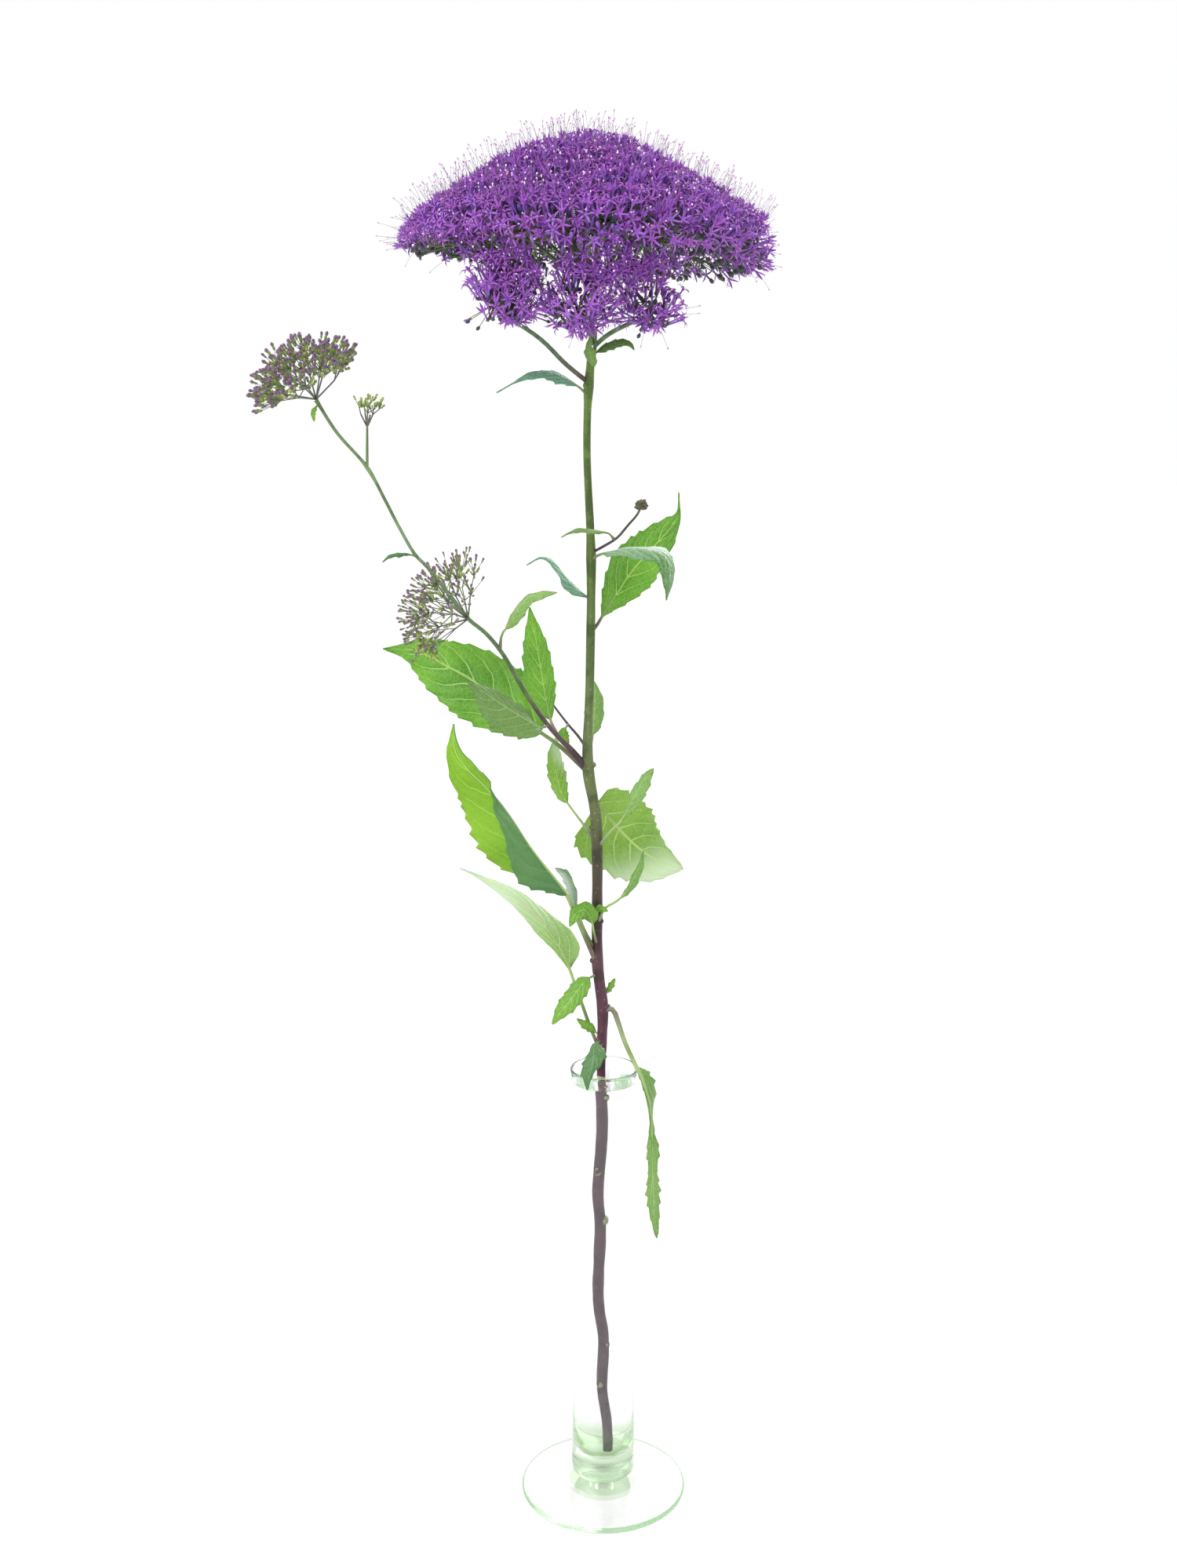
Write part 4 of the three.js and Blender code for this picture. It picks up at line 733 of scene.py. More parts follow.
# %% Leaf shapes
# rib runs from the stem to the tip, in millimetres, and stalk is the share of it that is leaf stalk.
# half is the widest half-width, shape says how the blade widens and narrows, tip how drawn out it ends,
# and near and far change the width of the two halves. teeth counts the teeth of an edge and bite is
# their depth, wave is the height of the waves, foot and thick are the radii of the stalk. facing lists
# the ways the upper face looks, and droop and unfold fold the halves down, in degrees.
LEAF_DEFAULTS = dict(
    shape=[0.5, 0.7], wave=0.3, tip=0.25, foot=0.75, finish="leaf", droop=[12, 12],
    near=[[0, 1], [1, 1]], far=[[0, 1], [1, 1]],
)
LEAVES = {
    "leaf_broad_left": dict(
        teeth=12, half=16.5, stalk=0.24, shape=[0.5, 0.85], wave=1.1, tip=0.5, foot=1.1, thick=0.75,
        facing=[[-0.1, -0.9, 0.3]], droop=[8, 8], near=[[0, 0.6], [0.12, 0.67], [0.33, 0.9], [0.45, 1],
        [1, 0.94]], far=[[0, 1], [0.4, 0.97], [0.7, 0.8], [1, 0.7]], rib=[[-7.8, 0, 324],
        [-18.7, 4, 333.4], [-29.7, 8, 340.5], [-41.7, 12, 349], [-55, 16, 358.8], [-64.5, 18, 363.8],
        [-77.8, 20, 370], [-91.4, 20, 371]],
    ),
    "leaf_grey_left": dict(
        teeth=8, half=6.5, stalk=0.12, shape=[0.5, 1], wave=0.6, finish="dusky_leaf",
        facing=[[-0.3, -0.6, 0.7]], droop=[12, 22], near=[[0, 1], [0.3, 1.5], [0.6, 1.7], [1, 1.2]],
        rib=[[-22.6, -5.2, 343.5], [-25.3, -9, 342.7], [-28.4, -12, 344.8], [-37.6, -14, 350.8],
        [-46.8, -14, 357.1], [-55, -12, 362.7]],
    ),
    "leaf_upright_left": dict(
        teeth=8, half=8.6, stalk=0.16, shape=[0.5, 0.9], wave=0.6, facing=[[0.1, -1, 0.1]],
        droop=[10, 10], near=[[0, 0.5], [0.15, 0.7], [0.35, 0.85], [1, 0.9]], far=[[0, 0.35],
        [0.12, 0.45], [0.3, 0.6], [0.6, 0.62], [1, 0.7]], rib=[[-18.6, -3.6, 338.3], [-21.4, 0.5, 343.1],
        [-23, 4, 348], [-25, 6, 358.9], [-27.5, 8, 374.1], [-30.3, 8, 389.3]],
    ),
    "leaf_high_left": dict(
        teeth=5, half=4, stalk=0.25, shape=[0.6, 0.8], finish="olive_leaf", facing=[[0, -0.5, 0.85]],
        droop=[15, 15], rib=[[-41.5, -10.4, 374.6], [-40.5, -12.5, 380.8], [-37.9, -13.5, 384.3],
        [-33.8, -15, 390.7], [-30, -17, 395.2], [-24.8, -18, 397.1], [-18.7, -18, 397.5]],
    ),
    "leaf_curl_left": dict(
        teeth=5, half=4.6, stalk=0.06, shape=[0.6, 0.8], tip=0.5, finish="teal_leaf",
        facing=[[0.3, -0.5, 0.8], [0, -0.4, 0.9]], droop=[20, 20], near=[[0, 0.7], [0.3, 1.1],
        [0.55, 0.8], [0.75, 0.35], [1, 0.25]], far=[[0, 0.7], [0.3, 1.1], [0.55, 0.8], [0.75, 0.35],
        [1, 0.25]], rib=[[-5.6, 0, 393], [-11.8, -3, 398.2], [-15.2, -5, 402.1], [-18.5, -8, 406.9],
        [-21.9, -10, 409.9], [-25.5, -12, 410.6], [-30.7, -12, 407.6]],
    ),
    "leaf_crossing": dict(
        teeth=4, half=2.3, stalk=0.2, shape=[0.6, 0.8], wave=0.2, finish="dusky_leaf",
        facing=[[0, -0.4, 1]], droop=[20, 20], near=[[0, 0.5], [0.4, 1], [0.8, 0.6], [1, 0.4]],
        far=[[0, 0.5], [0.4, 1], [0.8, 0.6], [1, 0.4]], rib=[[3.6, -3.8, 417.2], [1.6, -6, 419.6],
        [-1.3, -7.6, 420.5], [-5, -9, 421.1], [-9.6, -10, 421.6], [-13.5, -10, 420.5],
        [-17.2, -9, 418.3]],
    ),
    "leaf_folding_right": dict(
        teeth=9, half=6.6, stalk=0.16, shape=[0.6, 0.7], wave=0.5, tip=0.4, finish="turning_leaf",
        facing=[[0, -0.4, 1], [0.1, -0.4, 1], [1, -0.6, 0.1]], rib=[[-5.2, 0, 409], [-2.4, -5, 411.2],
        [2.7, -9.5, 412.8], [8.8, -14, 414.4], [16.2, -20, 414.2], [22.1, -23, 412.6], [24.5, -24, 408.1],
        [24.6, -24, 401.2], [23.5, -23, 395.1]],
    ),
    "leaf_awned_right": dict(
        teeth=11, half=10.6, stalk=0.13, shape=[0.6, 1.15], wave=0.8, tip=0.6, facing=[[0.1, -1, 0.1]],
        droop=[8, 8], near=[[0, 0.4], [0.12, 0.62], [0.25, 0.82], [0.4, 1], [0.8, 0.95], [0.88, 0.4],
        [1, 0.25]], far=[[0, 0.3], [0.12, 0.55], [0.25, 0.8], [0.4, 1], [0.75, 0.75], [0.88, 0.35],
        [1, 0.25]], rib=[[-5.4, 0.4, 380], [-2.7, 4, 383.1], [-0.8, 5.5, 386.2], [4.9, 8, 394.7],
        [11.9, 11, 404.6], [20.5, 14, 413.8], [26.9, 16, 421], [29.7, 16, 425.4], [29.9, 15, 434.8]],
    ),
    "leaf_behind_stem": dict(
        teeth=4, half=4, stalk=0.3, shape=[0.6, 0.8], finish="olive_leaf", facing=[[0.1, -1, 0.1]],
        droop=[10, 10], rib=[[-6.2, 1, 330], [-4.9, 6, 336.1], [-4.2, 9, 343.9], [-3.9, 10, 351.9],
        [-4.3, 10, 359]],
    ),
    "leaf_slim_left": dict(
        teeth=6, half=3.7, stalk=0.4, shape=[0.6, 0.8], finish="pale_leaf", facing=[[-0.2, -1, 0.2]],
        droop=[15, 15], rib=[[-4, 0.4, 294.6], [-9.1, 3, 301.1], [-13.9, 6, 307], [-17.5, 7, 312.4],
        [-19.8, 8, 321.2], [-20.7, 9, 329.2], [-19.4, 9, 336.4]],
    ),
    "leaf_twig": dict(
        teeth=3, half=1.9, stalk=0.2, shape=[0.6, 0.8], wave=0, facing=[[0, -1, 0.3]], droop=[10, 10],
        rib=[[-14.8, 6, 341.6], [-16.6, 4.4, 339.2], [-16.3, 4, 336.6], [-14.5, 4, 333.6]],
    ),
    "leaf_pale_right": dict(
        teeth=11, half=16.5, stalk=0.22, shape=[0.45, 0.75], wave=1.1, foot=1.0, finish="pale_leaf",
        facing=[[0, -0.9, 0.4]], droop=[6, 10], far=[[0, 1.5], [0.2, 1.3], [0.45, 1.08], [1, 1]],
        rib=[[-3.8, 1, 301], [-5.6, 8, 309], [-2, 14, 305.5], [7, 22, 293.5], [14.6, 28, 284.7],
        [23.3, 34, 277.4], [34.5, 38, 272.6]],
    ),
    "leaf_rising_right": dict(
        teeth=6, half=4, stalk=0.42, shape=[0.9, 0.7], wave=0.4, thick=0.45, finish="olive_leaf",
        facing=[[-0.5, -0.6, 0.5]], droop=[15, 15], rib=[[-2.9, 0, 291], [2.1, -5, 299], [6.5, -8, 304.2],
        [9.6, -10, 309.9], [12.7, -12, 316.4], [16.7, -14, 323.9], [19.5, -14, 327.1]],
    ),
    "leaf_curved_right": dict(
        teeth=4, half=2.4, stalk=0.45, shape=[0.8, 0.9], thick=0.42, finish="olive_leaf",
        facing=[[-0.6, -0.5, 0.5], [-0.9, -0.5, 0.1]], droop=[15, 15], rib=[[-2.8, -0.4, 258.6],
        [0.3, -5, 266.9], [5, -8, 270.7], [8.8, -10, 275.2], [11.9, -12, 281.3], [14.4, -13, 287.5],
        [15.7, -13, 293.3]],
    ),
    "leaf_folded_left": dict(
        teeth=13, half=18.5, stalk=0.3, shape=[0.5, 0.95], wave=0.5, tip=0.5, foot=1.1,
        finish="folded_leaf", facing=[[0.7, 0.34, 0.61]], droop=[58, 50], near=[[0, 0.35], [0.085, 0.52],
        [0.147, 0.66], [0.21, 0.83], [0.27, 0.9], [0.33, 0.82], [0.4, 0.7], [0.45, 0.54], [0.555, 0.41],
        [0.63, 0.12], [0.68, 0.4], [0.78, 0.6], [1, 0.8]], far=[[0, 0.35], [0.15, 0.62], [0.28, 0.98],
        [0.4, 1.08], [0.7, 1.1], [1, 1]], unfold=[[0, 58], [0.58, 58], [0.68, -25], [1, -25]],
        rib=[[-3.2, 0, 242], [-8.1, -5, 255.1], [-11.9, -10, 265.6], [-15.7, -14, 275.6],
        [-20.4, -17, 283], [-29.3, -22, 296.5], [-38, -26, 311.4], [-46.7, -28, 322.9],
        [-53.1, -28, 329.1], [-57.7, -27, 335.2], [-59.2, -26, 340.9], [-59.2, -25, 347]],
    ),
    "leaf_folded_small": dict(
        teeth=4, half=3.6, stalk=0.5, shape=[0.6, 0.7], wave=0.2, finish="silver_leaf",
        facing=[[0.6, -0.5, 0.6]], droop=[15, 15], rib=[[-3.2, -0.6, 246.5], [-8.6, -2, 258],
        [-11.4, -3, 267], [-12.6, -5, 274.7], [-15.7, -8, 282], [-20, -10, 285]],
    ),
    "leaf_pale_left": dict(
        teeth=9, half=10, stalk=0.36, shape=[0.5, 1.1], wave=0.4, tip=0.5, bite=0.4, thick=0.6,
        finish="faded_leaf", facing=[[0.15, -0.95, 0.3]], droop=[6, 34], near=[[0, 0.2], [0.15, 0.3],
        [0.3, 0.48], [0.5, 0.5], [0.7, 0.45], [1, 0.5]], far=[[0, 1.3], [0.08, 1.5], [0.2, 1.15],
        [0.34, 0.75], [0.5, 0.55], [0.7, 0.45], [1, 0.5]], rib=[[-1.8, 0.2, 203.4], [-6.2, 4, 213.6],
        [-9.6, 7, 222.6], [-13.1, 9.5, 232], [-15.6, 11, 238.6], [-22.8, 14, 250.5], [-32.8, 18, 261.5],
        [-43.2, 20, 268.5], [-53.2, 21, 273.8], [-61.1, 21, 277.2]],
    ),
    "leaf_toothed_low": dict(
        teeth=6, half=4.1, stalk=0.18, shape=[0.45, 0.7], wave=0.4, finish="bright_leaf",
        facing=[[-0.3, -0.9, 0.4]], droop=[10, 10], rib=[[-2.6, 0, 237], [-7.2, -5, 236.3],
        [-11, -8, 232.5], [-15.2, -10, 227.4], [-18.5, -11, 223.6], [-21.4, -11, 218.9]],
    ),
    "leaf_bud_low": dict(
        teeth=3, half=1.7, stalk=0.25, wave=0, finish="bright_leaf", facing=[[0.3, -0.9, 0.2]],
        droop=[10, 10], rib=[[-1.4, 0, 209.6], [-5.5, -3, 214.4], [-8.1, -5, 216.8], [-11.4, -6, 219.6]],
    ),
    "leaf_over_rim": dict(
        teeth=6, half=4.1, stalk=0.16, shape=[0.6, 0.7], finish="grey_leaf", facing=[[0, -0.2, 1],
        [-0.2, -1, 0.4], [-0.2, -1, 0]], near=[[0, 0.9], [0.45, 1.25], [0.6, 0.75], [0.7, 0.4],
        [1, 0.35]], far=[[0, 0.2], [0.3, 0.45], [0.55, 1], [0.8, 1.2], [1, 1]], rib=[[-1.2, 0, 208],
        [-4, -9, 209.2], [-4.4, -15, 207.8], [-5, -18.6, 203.8], [-6.2, -19.6, 199], [-7, -19.4, 193.5]],
    ),
    "leaf_hanging_right": dict(
        teeth=13, half=5.2, stalk=0.28, shape=[0.45, 0.6], wave=1.1, bite=1.8, foot=1.2, thick=0.8,
        finish="olive_leaf", facing=[[0.7, -0.3, 0.6], [0.5, -0.9, 0.3], [0.8, -0.6, 0.1], [0.2, -1, 0],
        [0.5, -0.8, 0]], droop=[14, 14], near=[[0, 1.1], [0.1, 1.7], [0.21, 1.5], [0.29, 0.6],
        [0.39, 0.28], [0.5, 0.6], [0.6, 0.46], [0.72, 0.8], [1, 0.9]], far=[[0, 0.35], [0.1, 0.3],
        [0.3, 0.16], [0.39, 0.18], [0.5, 0.42], [0.6, 0.32], [0.72, 0.62], [1, 0.8]],
        rib=[[-0.4, 0, 221.5], [3.6, -3, 222.6], [6, -6, 217.5], [8.4, -9, 211], [12.4, -12, 202.8],
        [15.4, -13.5, 197], [18, -14, 188.5], [19.6, -13, 178.7], [20.1, -12, 168.6], [20.2, -11, 158.7],
        [20.7, -10, 145.8], [21.4, -9, 134.7], [22.6, -8, 122.4]],
    ),
    "leaf_sprout_right": dict(
        teeth=3, half=1.1, stalk=0.3, wave=0, finish="bright_leaf", facing=[[0.3, -0.8, 0.6]],
        droop=[10, 10], rib=[[-0.4, 0.4, 226.5], [1.6, 1.6, 229], [3.1, 2, 231.6], [4.6, 2, 234.6]],
    ),
    "leaf_under_head": dict(
        teeth=6, half=2.8, stalk=0.16, shape=[0.5, 1.2], tip=0.7, finish="teal_leaf",
        facing=[[0, -0.8, 0.6]], droop=[14, 30], near=[[0, 0.7], [0.3, 1.2], [0.6, 0.85], [0.8, 0.3],
        [1, 0.2]], far=[[0, 0.7], [0.3, 1.2], [0.6, 0.85], [0.8, 0.3], [1, 0.2]], rib=[[-6.6, 0, 472.6],
        [-10.5, -3, 476], [-15, -6, 478.6], [-19.5, -9, 480.4], [-23.9, -12, 481], [-28.6, -14, 480],
        [-33.4, -15, 477.9], [-41.5, -16, 473.3]],
    ),
    "bract_front": dict(
        teeth=3, half=2.0, stalk=0.12, wave=0, tip=0.5, finish="olive_leaf", facing=[[-0.3, -1, 0.1]],
        rib=[[-5.6, 0, 482.6], [-5.1, -3.4, 485], [-6, -4.6, 488.8], [-6.1, -4.9, 491.8],
        [-5.4, -4.6, 495]],
    ),
    "bract_right": dict(
        teeth=4, half=1.9, stalk=0.14, wave=0, finish="dusky_leaf", facing=[[0, -0.9, 0.5]],
        rib=[[-5.2, 0, 488], [0.1, -4.4, 490.8], [3.7, -7.6, 491.9], [7.3, -10, 492.3], [9.4, -11, 491.5],
        [10.9, -11, 489.4]],
    ),
    "leaf_axil_left": dict(
        teeth=4, half=3.6, stalk=0.4, finish="bright_leaf", facing=[[-0.2, -0.9, 0.4], [-0.3, -0.8, 0.6]],
        rib=[[-3, -0.8, 250], [-4.4, -5, 257], [-5.4, -9.4, 263.5], [-8.2, -13.2, 268.4],
        [-11.6, -15.6, 267.6], [-14.1, -16.8, 262.5]],
    ),
    "leaf_axil_right": dict(
        teeth=3, half=1.6, stalk=0.2, wave=0, finish="bright_leaf", facing=[[0.2, -0.9, 0.4]],
        droop=[10, 10], rib=[[-2.9, -0.6, 262.4], [-2.6, -5, 265.6], [-1.2, -7, 267.3],
        [1.4, -8.4, 266.5]],
    ),
    "bract_branch": dict(
        teeth=4, half=0.9, stalk=0.2, shape=[0.5, 0.8], wave=0, finish="grey_leaf",
        facing=[[0, -0.6, 0.8]], droop=[15, 15], rib=[[-73.1, -15.9, 411.4], [-76.6, -18, 412.4],
        [-79.7, -20, 412.4], [-83, -21, 411.8], [-85.8, -22, 409.5]],
    ),
    "bract_bud_head": dict(
        teeth=3, half=1.0, stalk=0.25, wave=0, facing=[[-0.5, -0.8, 0.2]], rib=[[-108.3, -22, 468.7],
        [-109.6, -24.6, 467.6], [-110.2, -25.6, 465.6], [-109.8, -25.6, 462.6]],
    ),
}


# %% [markdown]
# ## Leaf finishes
# Fresh leaves are mottled between a darker and a lighter green, with paler veins that the light also
# catches. Their undersides are duller and greyer. The light shines through a thin blade, which a
# little subsurface scattering gives. Some blades fade to pale at the tip or at a corner. The swellings
# between side veins are painted lighter, a painted highlight, and two blades have one edge painted
# pale, a painted sheen. The folded leaf's upper face is painted dark, a painted shade, and its underside
# bright, as painted light shining through it, and another blade is painted darker past its fold, a
# painted shade.

# %% Leaf finishes
FINISHES = {
    "bright_leaf": ("4C8420", "76A838", "A6C666", "6A9848", "84AE5E", "AACA84"),
    "dusky_leaf": ("4E7430", "6D8F49", "90AC72", "6C8C50", "86A46A", "A6BC8C"),
    "teal_leaf": ("4A8064", "6C9E80", "BCD4B4", "6E8A5C", "8CA074", "C0CCA8"),
    "turning_leaf": ("42703C", "76A070", "C4D6C0", "5E8A54", "7CA072", "B4CCAC"),
    "olive_leaf": ("5C8838", "80A656", "AACA86", "82A660", "9ABC7C", "BAD4A0"),
    "silver_leaf": ("3E6C3C", "729C6C", "B0CAA6", "6A946C", "8CAE8A", "BCD0BC"),
    "leaf": ("4B861F", "74B030", "ACD06C", "6FA04A", "88B45A", "ADCF84"),
    "pale_leaf": ("68982A", "86B03E", "B8D680", "86B35C", "A3C67E", "CFE3B4"),
    "faded_leaf": ("78A24A", "98BE6A", "C6DA9C", "A3C47C", "C9DFB4", "E4EED6"),
    "grey_leaf": ("3E6A38", "608A54", "86A678", "6B9463", "8FB083", "B7CFA9"),
    # The folded leaf's upper face is painted dark green as painted shade, and its underside bright
    # yellow-green as painted light shining through it.
    "folded_leaf": ("3E7039", "588949", "659556", "6C9C12", "86B62C", "A4CC4C"),
}
# Each fade goes along or over the blade, or to a corner: from, to, how strongly, and its colour.
# A painted sheen: one half of the blade is painted pale towards its edge, as if it caught the light.
SHEEN_EDGE_PAINTED = ("over", 0.3, 0.95, 0.7, "DCE6DE")
FADES = {
    "pale_leaf": [("corner", 0.25, 0.75, 0.8, "D9E8CC")],
    "faded_leaf": [("along", 0.1, 0.8, 0.6, "E6F0E0")],
    "silver_leaf": [SHEEN_EDGE_PAINTED],
    # Painted shade: past the fold the blade is painted darker green where it turns away.
    "turning_leaf": [SHEEN_EDGE_PAINTED, ("along", 0.5, 0.66, 0.85, "4A8034")],
}


def leaf_finish(name, dark, light, vein, fine=0.2, roughness=0.42, fades=()):
    """A blade that is mottled between two greens, with paler veins."""
    material, nodes, shader = new_finish(
        name, Roughness=roughness, Specular_IOR_Level=0.35, Subsurface_Weight=0.1,
        Subsurface_Radius=(0.6, 1.0, 0.25), Subsurface_Scale=0.0012,
    )
    place = place_of(nodes)
    leaf_map = nodes.add("ShaderNodeUVMap", uv_map="UVMap").outputs[0]
    marks = use_group(nodes, veins, {"Map": leaf_map, "Place": place})
    blade = nodes.mix(clouds(nodes, place, 38.0), dark, light)
    blade = nodes.mix(nodes.mul(clouds(nodes, place, 700.0), 0.25), blade, dark)
    # Painted highlight: the swellings between side veins are painted lighter, as if they caught the
    # light.
    blade = nodes.mix(nodes.mul(marks["Quilt"], 0.3), blade, light)
    ahead, over, _ = nodes.split(leaf_map)
    ways = {"along": ahead, "over": over, "corner": nodes.math("MULTIPLY_ADD", over, -0.45, ahead)}
    for way, low, high, most, tint in fades:
        blade = nodes.mix(nodes.mul(nodes.fit(ways[way], low, high), most), blade, tint)
    netted = nodes.mix(nodes.mul(marks["Fine"], fine), blade, vein)
    paint(nodes, shader, nodes.mix(nodes.mul(marks["Vein"], 0.8), netted, vein))
    relief = nodes.math("SUBTRACT", marks["Quilt"], nodes.mul(marks["Fine"], 0.25))
    bump(nodes, shader, relief, 0.5, 0.0004)
    return material


leaf_materials = {}
for name, codes in FINISHES.items():
    upper = leaf_finish(name + "_upper", *codes[:3], fades=FADES.get(name, ()))
    under = leaf_finish(name + "_under", *codes[3:], fine=0.15, roughness=0.55)
    leaf_materials[name] = upper, under

rib_finish, nodes, shader = new_finish("leaf_stalk", Roughness=0.45, Specular_IOR_Level=0.4)
place = place_of(nodes)
cloud = clouds(nodes, place, 120.0)
up_the_rib = nodes.attribute("shade")
stops = [(0.0, "5A3F45"), (0.07, "66574A"), (0.16, "6F8548"), (0.3, "8CA85C")]
ripe = nodes.ramp(up_the_rib, stops + [(1.0, "A4C474")])
paint(nodes, shader, nodes.mix(nodes.mul(cloud, 0.35), ripe, "B5C99A"))
bump(nodes, shader, use_group(nodes, streaks, {"Place": place})["Streak"], 0.2, 0.0001)
print("leaf finishes:", list(leaf_materials))


# %% [markdown]
# ## From a grid to a blade
# The grid's long side runs along the rib and its short side from edge to edge. A row of teeth gives
# the columns: each tooth rises slowly to its point and falls back quickly, as on the real leaf. Both
# halves fold about the rib, and small waves and swellings keep the blade from looking pressed.

# %% Teeth, facing, width and fold
NOTCH, LEAN = 0.94, 0.78
TOOTH_SHARES = [0.0, 0.35, 0.62, LEAN, 0.88]
LARGE_LEAF, BLADE_THICKNESS = 5, 0.4


def tooth_columns(leaf, rnd):
    """Where the grid's columns lie along the blade, and how far each reaches at the edge."""
    lengths = [0.7 + 0.6 * rnd.random() for _ in range(leaf["teeth"])]
    ends = np.concatenate([[0], np.cumsum(lengths)]) / sum(lengths)
    bite = leaf.get("bite", 0.5 + 0.06 * leaf["half"]) / leaf["half"]
    shares, reaches = [], []
    for start, end in zip(ends, ends[1:]):
        size = bite * (0.65 + 0.7 * rnd.random())
        for share in TOOTH_SHARES:
            rise = share / LEAN if share <= LEAN else (1 - share) / (1 - LEAN)
            shares.append(start + share * (end - start))
            reaches.append(NOTCH + size * max(0, rise) ** 1.3)
    return shares + [1.0], reaches + [NOTCH]


def facing_at(leaf, path, u):
    """The way ahead and the way the upper face looks, at a share of the rib."""
    facing, ahead = leaf["facing"], path.way(u)
    place = u * (len(facing) - 1)
    i = min(int(place), max(0, len(facing) - 2))
    normal = Vector(facing[i]).lerp(Vector(facing[min(i + 1, len(facing) - 1)]), place - i)
    return ahead, (normal - ahead * normal.dot(ahead)).normalized()


def blade_width(leaf, t, hand):
    """Half-width in millimetres at a share of the blade, on the hand's side of the rib."""
    rise, fade = leaf["shape"]
    peak = rise / (rise + fade)
    full = (t**rise * (1 - t) ** fade) / (peak**rise * (1 - peak) ** fade)
    drawn_out = 1 - leaf["tip"] * math.exp(-(((1 - t) / 0.16) ** 2))
    return leaf["half"] * full * drawn_out * along(leaf["near" if hand > 0 else "far"], t)


def blade_fold(leaf, t, hand):
    """How far a half folds down about the rib, in radians."""
    fold = leaf["droop"][0 if hand > 0 else 1]
    if hand > 0 and "unfold" in leaf:
        fold = along(leaf["unfold"], t)
    return math.radians(fold)


# %% Lay a grid over a leaf
def lay_blade(name, leaf, seed):
    """A grid laid over the blade: first its mesh, then its map, then its thickness."""
    rnd = random.Random(seed)
    path = Path(leaf["rib"])
    shares, reaches = tooth_columns(leaf, rnd)
    rows = 18 if leaf["half"] > LARGE_LEAF else 12
    start_fresh()
    bpy.ops.mesh.primitive_grid_add(
        x_subdivisions=len(shares) - 1, y_subdivisions=rows, size=2, calc_uvs=True
    )
    blade = named(name)
    positions = np.linspace(0, 1, len(shares))
    mesh = blade.data
    blade_map = np.zeros((len(mesh.vertices), 2))
    for corner in mesh.vertices:
        t = float(np.interp((corner.co.x + 1) / 2, positions, shares))
        reach = float(np.interp((corner.co.x + 1) / 2, positions, reaches))
        across, hand = abs(corner.co.y), 1 if corner.co.y >= 0 else -1
        blade_map[corner.index] = (t, (corner.co.y + 1) / 2)
        u = leaf["stalk"] + (1 - leaf["stalk"]) * t
        point = path.at(u)
        ahead, normal = facing_at(leaf, path, u)
        side = normal.cross(ahead)
        edge = 1 + (reach - 1) * across**6
        width = max(blade_width(leaf, t, hand) * edge, 0.45 - 0.3 * t) * across
        fold = blade_fold(leaf, t, hand)
        out = side * (hand * math.cos(fold)) - normal * math.sin(fold)
        up = normal * math.cos(fold) + side * (hand * math.sin(fold))
        wave = leaf["wave"] * math.sin(14 * t + 1.1 * hand) * min(1, 4 * t * (1 - t))
        crinkle = 0.025 * leaf["half"] * noise.noise(Vector((t * 9, corner.co.y * 3, seed)))
        swell = abs(math.sin(math.pi * VEIN_PAIRS * (t - vein_sweep(across))))
        quilt = 0.02 * leaf["half"] * swell * across * (1 - across) * 4
        lift = wave * across**2 + quilt + crinkle * across
        corner.co = point + (out * width + up * lift) * MM
    which = np.zeros(len(mesh.loops), np.int32)
    mesh.loops.foreach_get("vertex_index", which)
    mesh.uv_layers[0].name = "UVMap"
    mesh.uv_layers[0].data.foreach_set("uv", blade_map[which].astype(np.float32).ravel())
    upper, under = leaf_materials[leaf["finish"]]
    mesh.materials.append(upper)
    mesh.materials.append(under)
    thick = blade.modifiers.new("thickness", "SOLIDIFY")
    thick.thickness, thick.offset, thick.material_offset = BLADE_THICKNESS * MM, 0, 1
    bpy.ops.object.modifier_apply(modifier=thick.name)
    bpy.ops.object.shade_smooth()
    return blade, path


# %% Leaves
RIB_SIDES, RING_GAP = 8, 2.5


def leaf_rib(name, leaf, path):
    """The leaf stalk, which runs on as the midrib just under the blade."""
    stalk = leaf["stalk"]
    thick = leaf.get("thick", 0.32 + 0.022 * leaf["half"])
    steps = max(12, int(path.length / MM / RING_GAP))
    points = []
    for i in range(steps + 1):
        u = 0.97 * i / steps
        _, normal = facing_at(leaf, path, u)
        drop = 0.0 if u < stalk else -0.3 * min(1, (u - stalk) * 8)
        points.append((path.at(u) + normal * drop * MM) / MM)
    radii = [[0, leaf["foot"]], [stalk * 0.5, thick * 1.25], [stalk, thick * 1.1], [1, 0.1]]
    rib_path = Path([list(p) for p in points], samples=4)
    rib = grow_rod(name, rib_path, lambda u, p: along(radii, u) * MM, RIB_SIDES, steps)
    shade = rib.data.attributes.new("shade", "FLOAT", "POINT")
    values = np.repeat(np.linspace(0, 1, steps + 1), RIB_SIDES)
    shade.data.foreach_set("value", values.astype(np.float32))
    rib.data.materials.append(rib_finish)
    return rib


def make_leaf(node, leaf, seed):
    """A leaf as one piece, named after its node in the frame."""
    blade, path = lay_blade(node + "_blade", leaf, seed)
    rib = leaf_rib(node + "_rib", leaf, path)
    return join([blade, rib], node.replace("leaf_", "blade_").replace("bract_", "small_blade_"))


leaves = {}
for i, (node, leaf) in enumerate(LEAVES.items()):
    leaves[node] = make_leaf(node, LEAF_DEFAULTS | leaf, 100 + i)
print("leaf faces", sum(len(leaf.data.polygons) for leaf in leaves.values()))


# %% [markdown]
# ## One floret
# A throatwort floret is a thin violet tube on a round green calyx, with five narrow lobes that spread
# like a star. The tube starts as a five-sided cylinder whose rings are moved to their radii, and the
# lobes are extruded from the faces round its mouth. It is modelled in millimetres, mouth up, and a
# shade value rises from the calyx to the tips, which its colours follow.

